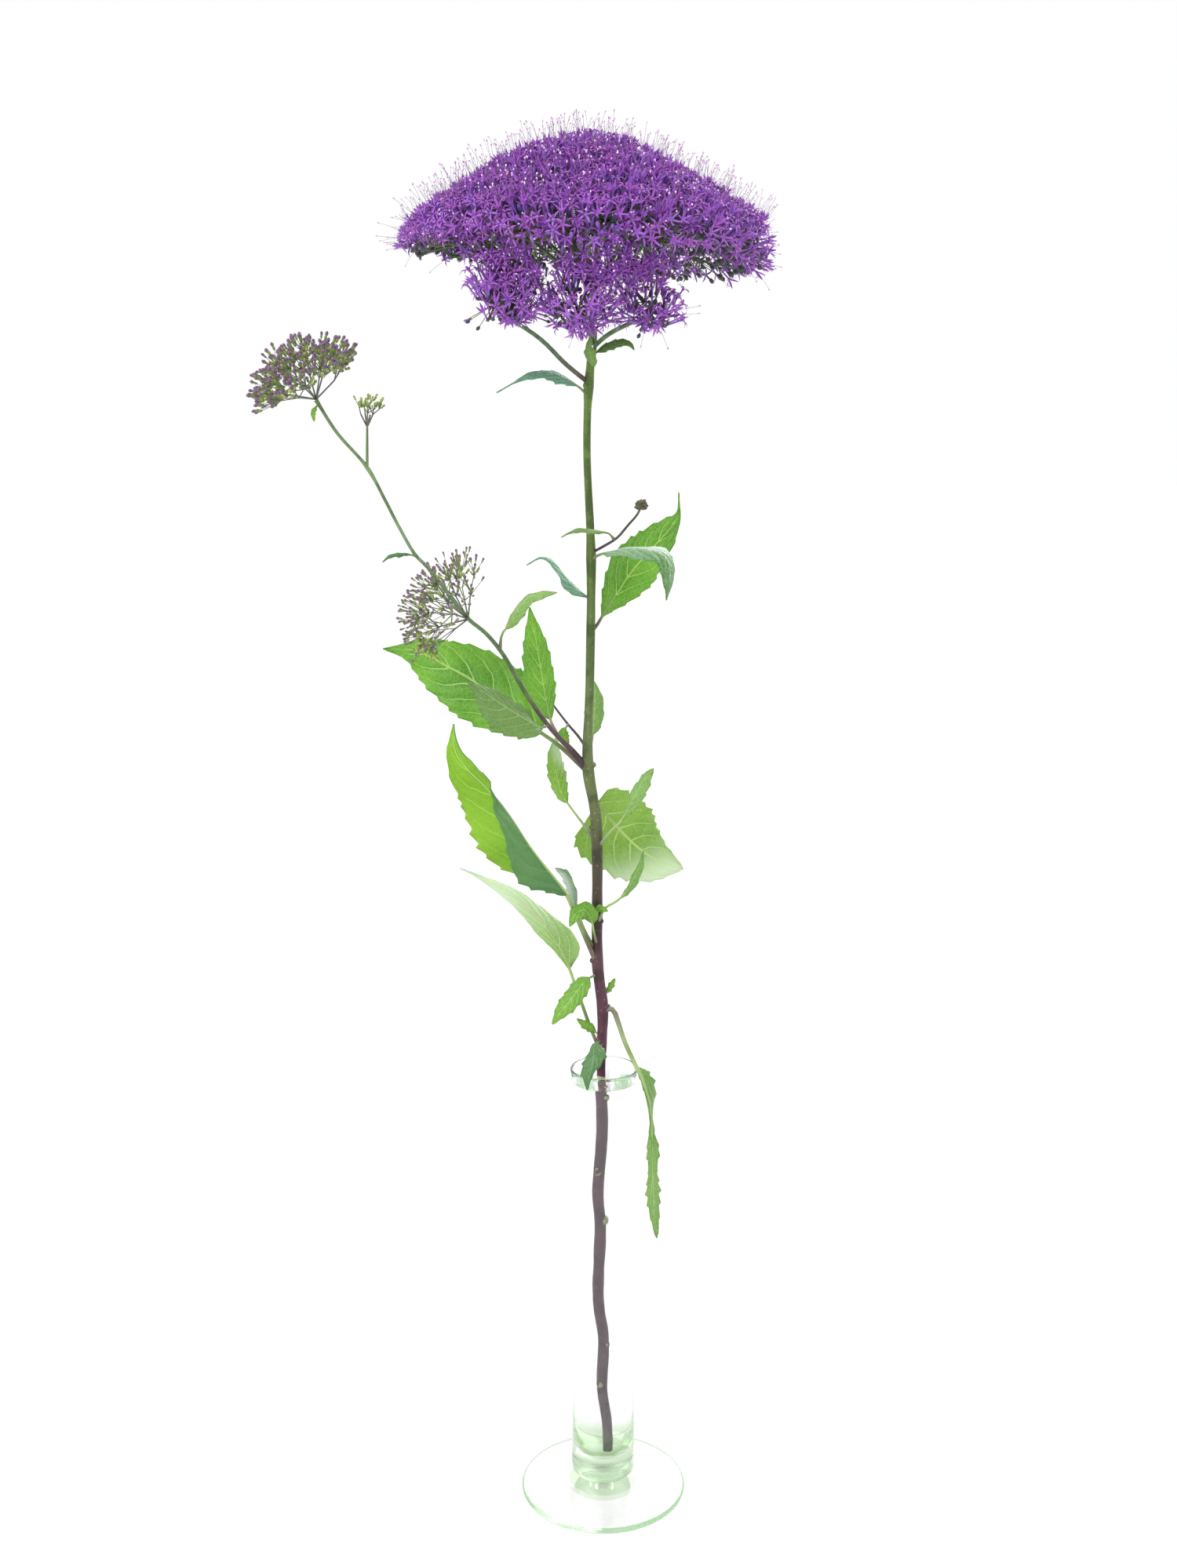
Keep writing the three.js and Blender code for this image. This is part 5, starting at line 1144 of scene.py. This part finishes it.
# %% A stack of rings and its shade
def set_shade(piece, rule):
    """Writes a number for each point from its place, for the colours to follow."""
    attribute = piece.data.attributes.new("shade", "FLOAT", "POINT")
    for corner in piece.data.vertices:
        attribute.data[corner.index].value = rule(corner.co)


def ring_stack(name, rings, sides):
    """A closed stack of rings: a disc extruded up through (radius, height) pairs."""
    start_fresh()
    radius, height = rings[0]
    bpy.ops.mesh.primitive_circle_add(
        vertices=sides, radius=radius, fill_type="NGON", location=(0, 0, height)
    )
    piece = named(name)
    bpy.ops.object.transform_apply()
    bpy.ops.object.mode_set(mode="EDIT")
    bpy.ops.mesh.select_all(action="SELECT")
    for (r0, z0), (r1, z1) in zip(rings, rings[1:]):
        bpy.ops.mesh.extrude_region_move(TRANSFORM_OT_translate={"value": (0, 0, z1 - z0)})
        bpy.ops.transform.resize(value=(r1 / r0, r1 / r0, 1), center_override=(0, 0, z1))
    bpy.ops.object.mode_set(mode="OBJECT")
    return piece


# %% An open floret
def open_floret(name, lobe_steps):
    """The tube, then five lobes extruded from a ring of faces round its mouth."""
    floret = ring_stack(name, [(0.25, -8), (0.85, -7.1), (0.34, -6.1), (0.38, -1.4), (0.75, 0)], 5)
    bpy.ops.object.mode_set(mode="EDIT")
    bpy.ops.mesh.inset(thickness=0.3, depth=-0.25)
    bpy.ops.mesh.select_all(action="DESELECT")
    shape = bmesh.from_edit_mesh(floret.data)
    for face in shape.faces:
        middle = face.calc_center_median()
        face.select = middle.z > -0.3 and len(face.verts) == 4 and face.normal.z > 0.2
    bmesh.update_edit_mesh(floret.data)
    for reach, height, width, flat in lobe_steps:
        bpy.ops.mesh.extrude_faces_move(TRANSFORM_OT_shrink_fatten={"value": 0.0})
        shape = bmesh.from_edit_mesh(floret.data)
        for face in shape.faces:
            if not face.select:
                continue
            middle = face.calc_center_median()
            way = Vector((middle.x, middle.y, 0)).normalized()
            side = Vector((-way.y, way.x, 0))
            edge = max(abs((corner.co - middle).dot(side)) for corner in face.verts)
            for corner in face.verts:
                off = corner.co - middle
                across = off.dot(side) / edge * width
                up = flat if off.dot(way) > 0 else -flat
                corner.co = way * reach + side * across + Vector((0, 0, height - up))
        bmesh.update_edit_mesh(floret.data)
    bpy.ops.mesh.select_all(action="SELECT")
    bpy.ops.mesh.normals_make_consistent(inside=False)
    bpy.ops.object.mode_set(mode="OBJECT")
    set_shade(floret, floret_shade)
    return floret


def floret_shade(place):
    """0.15 to 0.3 on the calyx, 0.35 to 0.6 up the tube, then up to 0.95 along the lobes."""
    out = math.hypot(place.x, place.y)
    if place.z < -5.9:
        return 0.15 + 0.15 * (place.z + 8) / 2
    if out < 0.8:
        return 0.35 + 0.25 * (place.z + 6) / 6
    return min(0.95, 0.62 + 0.3 * (out - 0.8) / 2.4)


# %% The small models of a head
STYLE_RINGS = [(0.085, -1), (0.065, 4), (0.055, 8.2), (0.32, 8.45), (0.36, 8.8), (0.12, 9.15)]
CLOSED_MODELS = {
    "bud": ([(0.2, -3), (0.5, -2.4), (0.42, -1.6), (0.68, -0.7), (0.3, 0)], 6, lambda p: (p.z + 3) / 3),
    "closed": (
        [(0.3, -3.4), (0.35, -1.6), (0.62, -0.6), (0.25, 0)], 5, lambda p: 0.33 + 0.03 * (p.z + 3.4)
    ),
    "calyx": ([(0.15, -2.2), (0.7, -1.5), (0.78, -0.6), (0.3, 0.1)], 6, lambda p: 0.2),
    "style": (STYLE_RINGS, 4, lambda p: 1.0 if p.z > 8.3 else 0.2),
    "rod": ([(1, 0), (0.85, 1)], 4, lambda p: 0.0),
}
OPEN_MODELS = {
    "open": [(2.1, 0.5, 0.46, 0.12), (3.7, -0.1, 0.14, 0.05)],
    "raised": [(1.9, 1.2, 0.45, 0.12), (3.2, 2.3, 0.14, 0.05)],
    "cup": [(1.2, 1.3, 0.45, 0.1), (1.7, 3.0, 0.12, 0.05)],
}
masters = {kind: master_arrays(open_floret(kind, lobes)) for kind, lobes in OPEN_MODELS.items()}
for kind, (rings, sides, rule) in CLOSED_MODELS.items():
    model = ring_stack(kind, rings, sides)
    if kind == "style":
        for corner in model.data.vertices:
            corner.co.x += 0.014 * corner.co.z**2
    set_shade(model, rule)
    masters[kind] = master_arrays(model)
print("faces of each model:", {kind: len(faces) for kind, (_, faces, _) in masters.items()})

# %% [markdown]
# ## The wide flower head
# The head is a low lobed dome. Rays rise from the top of the stem and fork twice, and every last
# fork ends in a tuft of florets that fan out to the dome's surface. Forks and florets are placed by
# the angle that sunflower seeds keep, which spreads them evenly, and each is tied to its nearest fork.

# %% The dome's surface
HEAD_X, HEAD_RADIUS, HEAD_DEPTH, HEAD_TOP, HEAD_FALL = -8, 75, 0.9, 568.8, 37.5
STEM_TOP = Vector((-4.4, 0, 516)) * MM


def head_lobes(angle):
    """How far the rim reaches out at an angle, as a share of the radius."""
    waves = ((0.018, 5, 0.6), (0.014, 8, 2), (0.008, 13, 0))
    return 1 + sum(high * math.sin(count * angle + phase) for high, count, phase in waves)


def head_height(x, y):
    """Height of the dome in millimetres."""
    dx, dy = x - HEAD_X, y / HEAD_DEPTH
    share = math.hypot(dx, dy) / (HEAD_RADIUS * head_lobes(math.atan2(dy, dx)))
    return HEAD_TOP - HEAD_FALL * share**1.5 + 0.9 * math.sin(x / 7.5 + 1) * math.cos(y / 8.2)


def head_normal(x, y):
    """The way the dome's surface looks."""
    slope_x = head_height(x + 0.5, y) - head_height(x - 0.5, y)
    slope_y = head_height(x, y + 0.5) - head_height(x, y - 0.5)
    return Vector((-slope_x, -slope_y, 1)).normalized()


def on_dome(angle, reach):
    """The x and y of a point on the dome, in millimetres."""
    reach = reach * head_lobes(angle)
    return HEAD_X + reach * math.cos(angle), HEAD_DEPTH * reach * math.sin(angle)


def under_dome(x, y, drop):
    """The point this many millimetres under the dome's surface."""
    return Vector((x, y, head_height(x, y) - drop)) * MM


def sunflower(count, shift=0.5):
    """The angle and the share of the reach for each of count seeds, from the middle out."""
    return [(i * GOLDEN_ANGLE, math.sqrt((i + shift) / count)) for i in range(count)]


def outward(angle, z=0.0):
    return Vector((math.cos(angle), math.sin(angle), z))


def nearest(place, forks):
    """The fork that lies closest."""
    return min(forks, key=lambda fork: (fork - place).length_squared)


def jitter(size):
    """A small random shift each way."""
    return Vector([size * (rnd.random() - 0.5) for _ in range(3)])


# %% [markdown]
# ## Gathering a head
# Before anything is stamped, the script only notes the place of every floret, style, calyx and ray.
# Open florets come in three forms and a random size, so that no pattern shows.

# %% What a head is gathered from
# The visual model stays close to the frame's box, so long styles at the rim are cut to fit it.
low, high = (Vector(corner) for corner in cad_box)
room = [0.028 * side for side in high - low]
KINDS = ("open", "raised", "cup", "closed", "calyx", "style")
gathered = {kind: [] for kind in KINDS + ("ray",)}
ANY_TURN = 6.3


def fits(place, spare=0.0):
    """Whether a place keeps a spare distance from the end of the room round the box."""
    return all(low[k] - room[k] + spare < place[k] < high[k] + room[k] - spare for k in range(3))


def tie(start, end, radius):
    """Gathers one straight ray."""
    gathered["ray"].append((start, end, radius))


def add(kind, place, way, size=1.0, length=1.0):
    """Gathers one copy with its mouth or tip at a place."""
    spot = standing(place, way, rnd.random() * ANY_TURN, size, length)
    gathered[kind].append((spot, rnd.random()))


def add_style(place, way):
    """A style that leans out of a floret, as long as the box leaves room for."""
    lean = (way + jitter(0.55)).normalized()
    for length in (0.65 + 0.6 * rnd.random(), 0.55, 0.35):
        if fits(place + lean * (9.3 * length * MM)):
            add("style", place, lean, 0.95, length)
            return


def add_floret(place, way, fork, size=1.0, style_share=0.55):
    """A floret with its mouth at a place, tied to a fork, maybe with a style."""
    if not fits(place + way * (2.5 * MM), 2.2 * MM):
        return
    size *= 0.85 + 0.3 * rnd.random()
    kind = rnd.choices(("open", "raised", "cup"), (0.5, 0.32, 0.18))[0]
    add(kind, place, way, size)
    tie(fork, place - way * (8 * size * MM), 0.2)
    if rnd.random() < style_share:
        add_style(place, way)


# %% [markdown]
# ## Rays of the dome
# Under the flowers the head is an umbrella of green rays: thick ones from the stem's top to a few
# large forks, and thinner ones from those to many small forks just under the surface.

# %% Forks and rays of the dome
rnd = random.Random(271)
SMALL_FORKS, LARGE_FORKS, DOME_FLORETS = 84, 15, 1900
small_forks, large_forks = [], []
for angle, share in sunflower(LARGE_FORKS):
    x, y = on_dome(angle + 0.4, 46 * share)
    large_forks.append(STEM_TOP.lerp(under_dome(x, y, 10), 0.55) + Vector((0, 0, 0.002)))
for angle, share in sunflower(SMALL_FORKS):
    x, y = on_dome(angle, 62 * share)
    small_forks.append(under_dome(x, y, 15.5))
for fork in large_forks:
    start = STEM_TOP + Vector((0, 0, -0.006 * rnd.random()))
    bend = start.lerp(fork, 0.5) + Vector((0, 0, -0.0015))
    tie(start, bend, 0.75)
    tie(bend, fork, 0.62)
for fork in small_forks:
    tie(nearest(fork, large_forks), fork, 0.42)
print("rays", len(gathered["ray"]))

# %% [markdown]
# ## Florets of the dome
# The florets lie in the order of sunflower seeds, a little shaken, and each leans away from its fork.
# Closed florets and spent calyces fill the depth between the open ones, as in the real head, where
# they keep one from seeing through.

# %% Florets of the dome
for angle, share in sunflower(DOME_FLORETS):
    angle += 0.08 * (rnd.random() - 0.5)
    x, y = on_dome(angle, 68.5 * share + 2 * (rnd.random() - 0.5))
    normal = head_normal(x, y) + outward(angle) * 0.5 * share**6
    place = under_dome(x, y, -3.4 * (rnd.random() - 0.5))
    fork = nearest(place - normal * 15.5 * MM, small_forks)
    fan = (place - fork).normalized()
    way = (normal.normalized() * 0.45 + fan * 0.2 + Vector((0, 0, 0.35)) + jitter(0.4)).normalized()
    add_floret(place, way, fork, size=0.85, style_share=0.46)

FILLERS = 1500
for angle, share in sunflower(FILLERS):
    x, y = on_dome(angle + 1, 67.5 * share)
    under = 2.5 + 8.5 * rnd.random()
    place = under_dome(x, y, under)
    way = (head_normal(x, y) + jitter(0.7)).normalized()
    deep = "calyx" if under > 6 and share > 0.7 and rnd.random() < 0.6 else "closed"
    add(deep, place, way, 1.15 + 0.5 * rnd.random())
print("florets on the dome", sum(len(gathered[kind]) for kind in OPEN_MODELS))

# %% [markdown]
# ## Rim and skirt
# At the rim the florets turn outwards and then down, in four rows that sag most at the right. Under
# the front edge a loose skirt of florets hangs lower, with gaps where the rays show.

# %% The rim and the skirt under the front
# Each row is given its reach, its drop below the dome, how steeply it looks and its count.
RIM = [(70.5, 3, 0.25, 112), (70, 6.5, -0.1, 96), (68, 10, -0.4, 72), (64.5, 13, -0.7, 44)]
for reach, row_drop, lean, count in RIM:
    for i in range(count):
        angle = 2 * math.pi * (i + rnd.random() * 0.8) / count
        x, y = on_dome(angle, reach + 3.5 * (rnd.random() - 0.5))
        drop = row_drop * (1.05 + 0.4 * math.cos(angle))
        place = Vector((x, y, head_height(x, y) - drop + 3 * (rnd.random() - 0.5))) * MM
        way = (outward(angle, lean) + jitter(0.4)).normalized()
        add_floret(place, way, nearest(place - way * 12 * MM, small_forks), 0.88, style_share=0.3)
        if drop > 5:
            down = Vector((x, y, head_height(x, y) - drop - 3.5 * rnd.random())) * MM
            down -= outward(angle) * 0.006 * rnd.random()
            add("calyx", down, Vector((way.x, way.y, -0.6)).normalized(), 1.2)
            tie(nearest(down, small_forks), down, 0.2)

SKIRT_FLORETS = 280
for _ in range(SKIRT_FLORETS):
    fall = rnd.random()
    angle = math.radians(-92 + (98 - 30 * fall) * (rnd.random() - 0.5))
    x, y = on_dome(angle, 68 - 17 * fall)
    place = Vector((x, y, 534 - 24 * fall + 3 * (rnd.random() - 0.5))) * MM
    if noise.noise(place * 95) < -0.16:
        continue
    way = Vector((0.5 * math.cos(angle), -0.8, 0.7 - 0.5 * fall))
    way = (way + jitter(0.5)).normalized()
    add_floret(place, way, nearest(place - way * 10 * MM, small_forks), 0.9, style_share=0.25)
print({kind: len(copies) for kind, copies in gathered.items()})

# %% [markdown]
# ## Finish of the florets
# Petals are violet, the tubes bluish and the lobes warmer towards their tips, and no two florets are
# quite alike. The shade value gives the place along a floret, the tint value the floret itself.
# Florets low on the head are painted a little paler, a painted light where light shines through them,
# so the colour also fades towards the rim.

# %% Petal, ray and style finishes
def ray_skin(name, dark, light, scale):
    """A finish for thin rays, mottled between two colours."""
    material, nodes, shader = new_finish(name, Roughness=0.5, Specular_IOR_Level=0.35)
    cloud = clouds(nodes, place_of(nodes), scale)
    paint(nodes, shader, nodes.mix(cloud, dark, light))
    bump(nodes, shader, cloud, 0.2, 0.0001)
    return material


ray_finish = ray_skin("ray_green", "3F552C", "6C8048", 160.0)
petal_finish, nodes, shader = new_finish(
    "petal_violet", Roughness=0.55, Specular_IOR_Level=0.3, Sheen_Weight=0.15,
    Subsurface_Weight=0.08, Subsurface_Radius=(0.6, 0.25, 1.0), Subsurface_Scale=0.0008,
)
shade, tint = nodes.attribute("shade"), nodes.attribute("tint")
stops = [(0.0, "3F5829"), (0.22, "2E3F22"), (0.31, "5A2A5A"), (0.4, "7E56BA")]
stops += [(0.6, "8E3EB8"), (0.72, "80209C"), (0.95, "B65CD0")]
body = nodes.ramp(shade, stops)
warm = nodes.mix(0.5, body, "9C2C98")
cool = nodes.mix(0.35, body, "7E66CC")
varied = nodes.mix(nodes.fit(tint, 0.0, 0.4), cool, body)
varied = nodes.mix(nodes.fit(tint, 0.55, 1.0), varied, warm)
coloured = nodes.mix(nodes.fit(shade, 0.28, 0.36), body, varied)
place = place_of(nodes)
height = nodes.split(place)[2]
# Painted light: florets below the dome's top are painted a paler lilac.
painted_light_low = nodes.mul(nodes.fit(height, 0.565, 0.505), 0.42)
coloured = nodes.mix(nodes.mul(painted_light_low, nodes.fit(shade, 0.33, 0.42)), coloured, "B470D6")
grain = clouds(nodes, place, 900.0)
paint(nodes, shader, nodes.mix(nodes.mul(grain, 0.18), coloured, "BC8CEC"))
bump(nodes, shader, grain, 0.2, 0.0001)

style_finish, nodes, shader = new_finish("style_lilac", Roughness=0.4, Sheen_Weight=0.2)
shade, tint = nodes.attribute("shade"), nodes.attribute("tint")
knob_colour = nodes.mix(tint, "F4DDF2", "C9A2CF")
paint(nodes, shader, nodes.mix(shade, "6B4A78", knob_colour))


# %% [markdown]
# ## Stamping a head
# Each kind of floret becomes one mesh, and all rays of a head another. Separate objects would be
# easier to move, but thousands of them would slow the scene down, and a head moves as one anyway.

# %% Make the dome's pieces
def make_stamp(name, master, spots, finish):
    """One piece from all the copies of a model."""
    piece = stamped(name, master, [spot for spot, _ in spots], np.array([t for _, t in spots]))
    piece.data.materials.append(finish)
    return piece


def make_rods(name, rods, finish):
    """One piece from straight stalks, each given by its ends and radius."""
    spots = [(spanning(start, end, radius), 0.0) for start, end, radius in rods]
    return make_stamp(name, masters["rod"], spots, finish)


def flower_head(name):
    """Turns what has been gathered so far into the pieces of one head."""
    made = []
    for kind in KINDS:
        finish = style_finish if kind == "style" else petal_finish
        if gathered[kind]:
            made.append(make_stamp(f"{name}_{kind}", masters[kind], gathered[kind], finish))
    made.append(make_rods(name + "_rays", gathered["ray"], ray_finish))
    for copies in gathered.values():
        copies.clear()
    return made


heads = {"bloom_dome": flower_head("dome")}
print({piece.name: len(piece.data.polygons) for piece in heads["bloom_dome"]})

# %% [markdown]
# ## The lower side heads
# Three short stalks carry looser heads under the dome's front edge. Their florets fan out round a
# small hub, with gaps that show the green rays.

# %% Side heads
# Each is given its hub, the way it faces, its reach, its spread and its florets.
HUB_FORKS, LOOSE_BITS = 10, 5
SIDE_HEADS = {
    "bloom_left": ([-40.4, -34.2, 502.5], [0.55, -0.45, 0.85], 15.5, 1.3, 112),
    "bloom_front": ([-10.4, -38.5, 502.5], [0.0, -0.75, 0.42], 15.5, 1.7, 124),
    "bloom_right": ([16.5, -29.5, 501.5], [-0.1, -0.7, 0.45], 12.5, 1.6, 76),
}


def tilted(tilt, angle, axis):
    """The way that leans from an axis by tilt, turned round it by angle."""
    lean = Vector((math.sin(tilt) * math.cos(angle), math.sin(tilt) * math.sin(angle), math.cos(tilt)))
    return Vector((0, 0, 1)).rotation_difference(axis) @ lean


for node, (hub, facing, reach, spread, count) in SIDE_HEADS.items():
    hub, facing = Vector(hub) * MM, Vector(facing).normalized()
    forks = []
    for angle, share in sunflower(HUB_FORKS, 0.4):
        forks.append(hub + tilted(spread * 0.8 * share, angle, facing) * (5.2 * MM))
        tie(hub, forks[-1], 0.4)
    for i, (angle, share) in enumerate(sunflower(count, 0.4)):
        way = tilted(spread * share, angle, facing)
        way = (way + jitter(0.35)).normalized()
        far = reach + 8 * (rnd.random() - 0.6)
        if way.z < 0:
            far *= 1 + 0.55 * way.z
        place = hub + way * (far * MM)
        if noise.noise(place * 120) < -0.25:
            continue
        fork = nearest(place, forks)
        out = ((place - fork).normalized() * 0.8 + Vector((0, 0, 0.45)) + jitter(0.4)).normalized()
        add_floret(place, out, fork, 0.92, style_share=0.3)
        if i % 3 == 0:
            place = hub + way * ((far - 6) * MM)
            add("calyx", place, way, 1.1)
            tie(fork, place, 0.2)
    for _ in range(LOOSE_BITS):
        way = Vector((rnd.random() * 2 - 1, -rnd.random(), -0.25 - 0.5 * rnd.random())).normalized()
        place = hub + way * (reach * (0.6 + 0.3 * rnd.random()) * MM)
        add(rnd.choice(("calyx", "closed")), place, way, 0.9)
        tie(nearest(place, forks), place - way * MM, 0.16)
    heads[node] = flower_head(node.replace("bloom", "side_head"))
print("heads", {node: len(pieces) for node, pieces in heads.items()})

# %% [markdown]
# ## Bud heads
# The side branch carries heads that are still in bud: green rays that fork twice, each last stalk
# ending in a bud that is yellow-green below and mauve at the tip.

# %% Bud finish
bud_finish, nodes, shader = new_finish("bud_mauve", Roughness=0.5, Specular_IOR_Level=0.35)
shade, tint = nodes.attribute("shade"), nodes.attribute("tint")
stops = [(0.0, "5E7A30"), (0.32, "86A04A"), (0.55, "7E7468"), (0.8, "6B4E70")]
ripe = nodes.ramp(shade, stops + [(1.0, "826089")])
young = nodes.ramp(shade, [(0.0, "5F7C30"), (0.6, "8DA24A"), (1.0, "A8B45E")])
paint(nodes, shader, nodes.mix(nodes.fit(tint, 0.6, 0.8), ripe, young))
grain = clouds(nodes, place_of(nodes), 1500.0)
bump(nodes, shader, grain, 0.15, 0.0001)

bud_ray_finish = ray_skin("bud_ray", "6E8452", "6C5E6A", 220.0)

# %% Bud heads
# Each is given its hub, axis, reach, spread, thick and thin forks, buds, their size and how young.
BUD_HEADS = {
    "bud_head_top": ([-109.4, -22, 470.8], [-0.45, -0.1, 0.88], 26.5, 1.27, 9, 44, 430, 1.1, 0.0),
    "bud_head_low": ([-53.6, -15.5, 387], [-0.75, -0.3, 0.5], 28.5, 1.14, 9, 42, 320, 0.85, 0.0),
    "bud_head_small": ([-90.6, -20, 460.6], [0.1, 0, 1], 13.5, 0.6, 5, 9, 30, 0.8, 0.85),
}
# A small young tuft hangs from the low head.
HANGING = ([-66, -22, 378.5], [-0.6, -0.2, -0.5], 8.5, 1.2, 4, 9, 26, 0.85, 0.9)


def bud_head(hub, axis, reach, spread, thick, thin, count, size, young):
    """Rays fork twice, then fan out into stalked buds; the buds deep inside are the young ones."""
    hub, axis = Vector(hub) * MM, Vector(axis).normalized()

    def fanned(total, near, far, wild):
        """Points spread over the head at a random share of its reach."""
        points = []
        for angle, share in sunflower(total, 0.4):
            way = (tilted(spread * share, angle, axis) + jitter(wild)).normalized()
            points.append((way, near + (far - near) * rnd.random()))
        return points

    forks = [hub + way * (reach * share * MM) for way, share in fanned(thick, 0.3, 0.42, 0.1)]
    rods = [(hub, fork, 0.34) for fork in forks]
    tips = [hub + way * (reach * share * MM) for way, share in fanned(thin, 0.55, 0.72, 0.15)]
    rods += [(nearest(tip, forks), tip, 0.22) for tip in tips]
    buds = []
    for way, share in fanned(count, 0.66, 1.0, 0.2):
        place = hub + way * (reach * share * MM)
        tip = nearest(place - way * (0.1 * reach * MM), tips)
        out = ((place - tip).normalized() + way * 0.8).normalized()
        grown = size * (0.75 + 0.4 * rnd.random())
        tint = max(young, 0.75 if share < 0.8 and rnd.random() < 0.6 else 0.5 * rnd.random())
        buds.append((standing(place, out, rnd.random() * ANY_TURN, grown), tint))
        rods.append((tip, place - out * (2.9 * grown * MM), 0.13))
    return rods, buds


for node, shape in BUD_HEADS.items():
    rods, buds = bud_head(*shape)
    if node == "bud_head_low":
        more_rods, more_buds = bud_head(*HANGING)
        rods += more_rods + [(Vector(shape[0]) * MM, Vector(HANGING[0]) * MM, 0.28)]
        buds += more_buds
    bud_piece = make_stamp(node + "_buds", masters["bud"], buds, bud_finish)
    heads[node] = [bud_piece, make_rods(node + "_rays", rods, bud_ray_finish)]
    print(node, "has", len(buds), "buds on", len(rods), "rays")

# %% [markdown]
# ## The dark bud cluster
# A short twig on the right ends in a tight dark knot of buds, no bigger than a peppercorn.

# %% Bud cluster
cluster_finish, nodes, shader = new_finish("cluster_dark", Roughness=0.55)
shade = nodes.attribute("shade")
grain = clouds(nodes, place_of(nodes), 700.0)
dark = nodes.ramp(shade, [(0.0, "98A448"), (0.6, "7C8840"), (0.85, "54483C"), (1.0, "3E3036")])
paint(nodes, shader, nodes.mix(nodes.mul(grain, 0.5), dark, "6E7A48"))
bump(nodes, shader, grain, 0.3, 0.0002)
cluster_hub = Vector(RIGHT_TWIG[-1]) * MM
cluster_axis = Vector((0.2, -0.2, 1)).normalized()
CLUSTER_BUDS = 34
spots = []
for angle, share in sunflower(CLUSTER_BUDS, 0.3):
    way = tilted(2.2 * share, angle, cluster_axis)
    out = (2.0 + 1.2 * rnd.random()) * MM
    spots.append((standing(cluster_hub + way * out, way, rnd.random() * ANY_TURN, 1.1), 0.0))
cluster = make_stamp("bud_cluster", masters["bud"], spots, cluster_finish)
print("cluster buds", len(spots))

# %% [markdown]
# ## Riding on the frame
# Nothing here moves, so every piece rides on the one body. Each is listed with the CAD node it stands
# for, which is hidden, and with a slot name.

# %% Ride, replace and name the slots
GREY_LEAVES = ("leaf_grey_left", "leaf_curl_left", "leaf_folding_right", "leaf_folded_small")
GREY_LEAVES += ("leaf_under_head", "bract_branch")
PALE_LEAVES = ("leaf_slim_left", "leaf_pale_right", "leaf_pale_left")
LEAF_SLOTS = dict.fromkeys(GREY_LEAVES, "grey_leaf") | dict.fromkeys(PALE_LEAVES, "pale_leaf")
stands_for = [(vase, "glass_vase", "vase_glass"), (water, "water", "water")]
stands_for += [(stem, "main_stem", "stem"), (branch, "left_branch", "branch")]
stands_for += [(right_twig, "bud_twig_right", "branch"), (cluster, "bud_twig_right", "bud")]
stands_for += [(left_twig, "twig_left", "branch")]
for node, piece in leaves.items():
    stands_for.append((piece, node, LEAF_SLOTS.get(node, "leaf")))
for node, pieces in heads.items():
    slot = "floret" if node.startswith("bloom") else "bud"
    stands_for += [(piece, node, slot) for piece in pieces]
for piece, node, slot in stands_for:
    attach(piece, "root")
    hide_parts(node)
triangles = sum(len(face.vertices) - 2 for piece, _, _ in stands_for for face in piece.data.polygons)
print("pieces", len(stands_for), "triangles", triangles)

# %% [markdown]
# ## Floor and light
# The photograph is high key: a white sweep, soft light from all round and a brighter one from above.
# A wide pale floor that glows a little, a white sky and two large lamps give that, with only a faint
# shadow.

# %% Floor
start_fresh()
bpy.ops.mesh.primitive_plane_add(size=30, location=(0, 0, -0.0001))
floor = named("floor")
floor_finish, _, _ = new_finish(
    "lit_floor", Base_Color=(0.06, 0.06, 0.06, 1), Roughness=0.9,
    Emission_Color=(1, 1, 1, 1), Emission_Strength=0.95,
)
floor.data.materials.append(floor_finish)

# %% Lights
world = bpy.data.worlds.new("white_sweep")
world.use_nodes = True
sky = world.node_tree.nodes["Background"].inputs
sky["Color"].default_value, sky["Strength"].default_value = (1, 1, 1, 1), 1.0
bpy.context.scene.world = world


def lamp(name, place, size, power):
    """A square soft light that looks at the flower."""
    start_fresh()
    bpy.ops.object.light_add(type="AREA", location=place)
    light = named(name)
    light.data.size, light.data.energy = size, power
    aim = Vector((0, 0, 0.35)) - Vector(place)
    light.rotation_euler = aim.to_track_quat("-Z", "Y").to_euler()
    return light


lamp("key_light", (-1.0, -1.2, 1.5), 1.2, 22)
lamp("back_light", (0.8, 1.3, 1.3), 1.4, 26)
bpy.context.scene.view_settings.view_transform = "Standard"

# Light crosses many glass and water walls before it leaves the vase.
BOUNCES = 128
for kind in ("max_bounces", "transmission_bounces", "glossy_bounces"):
    setattr(bpy.context.scene.cycles, kind, BOUNCES)
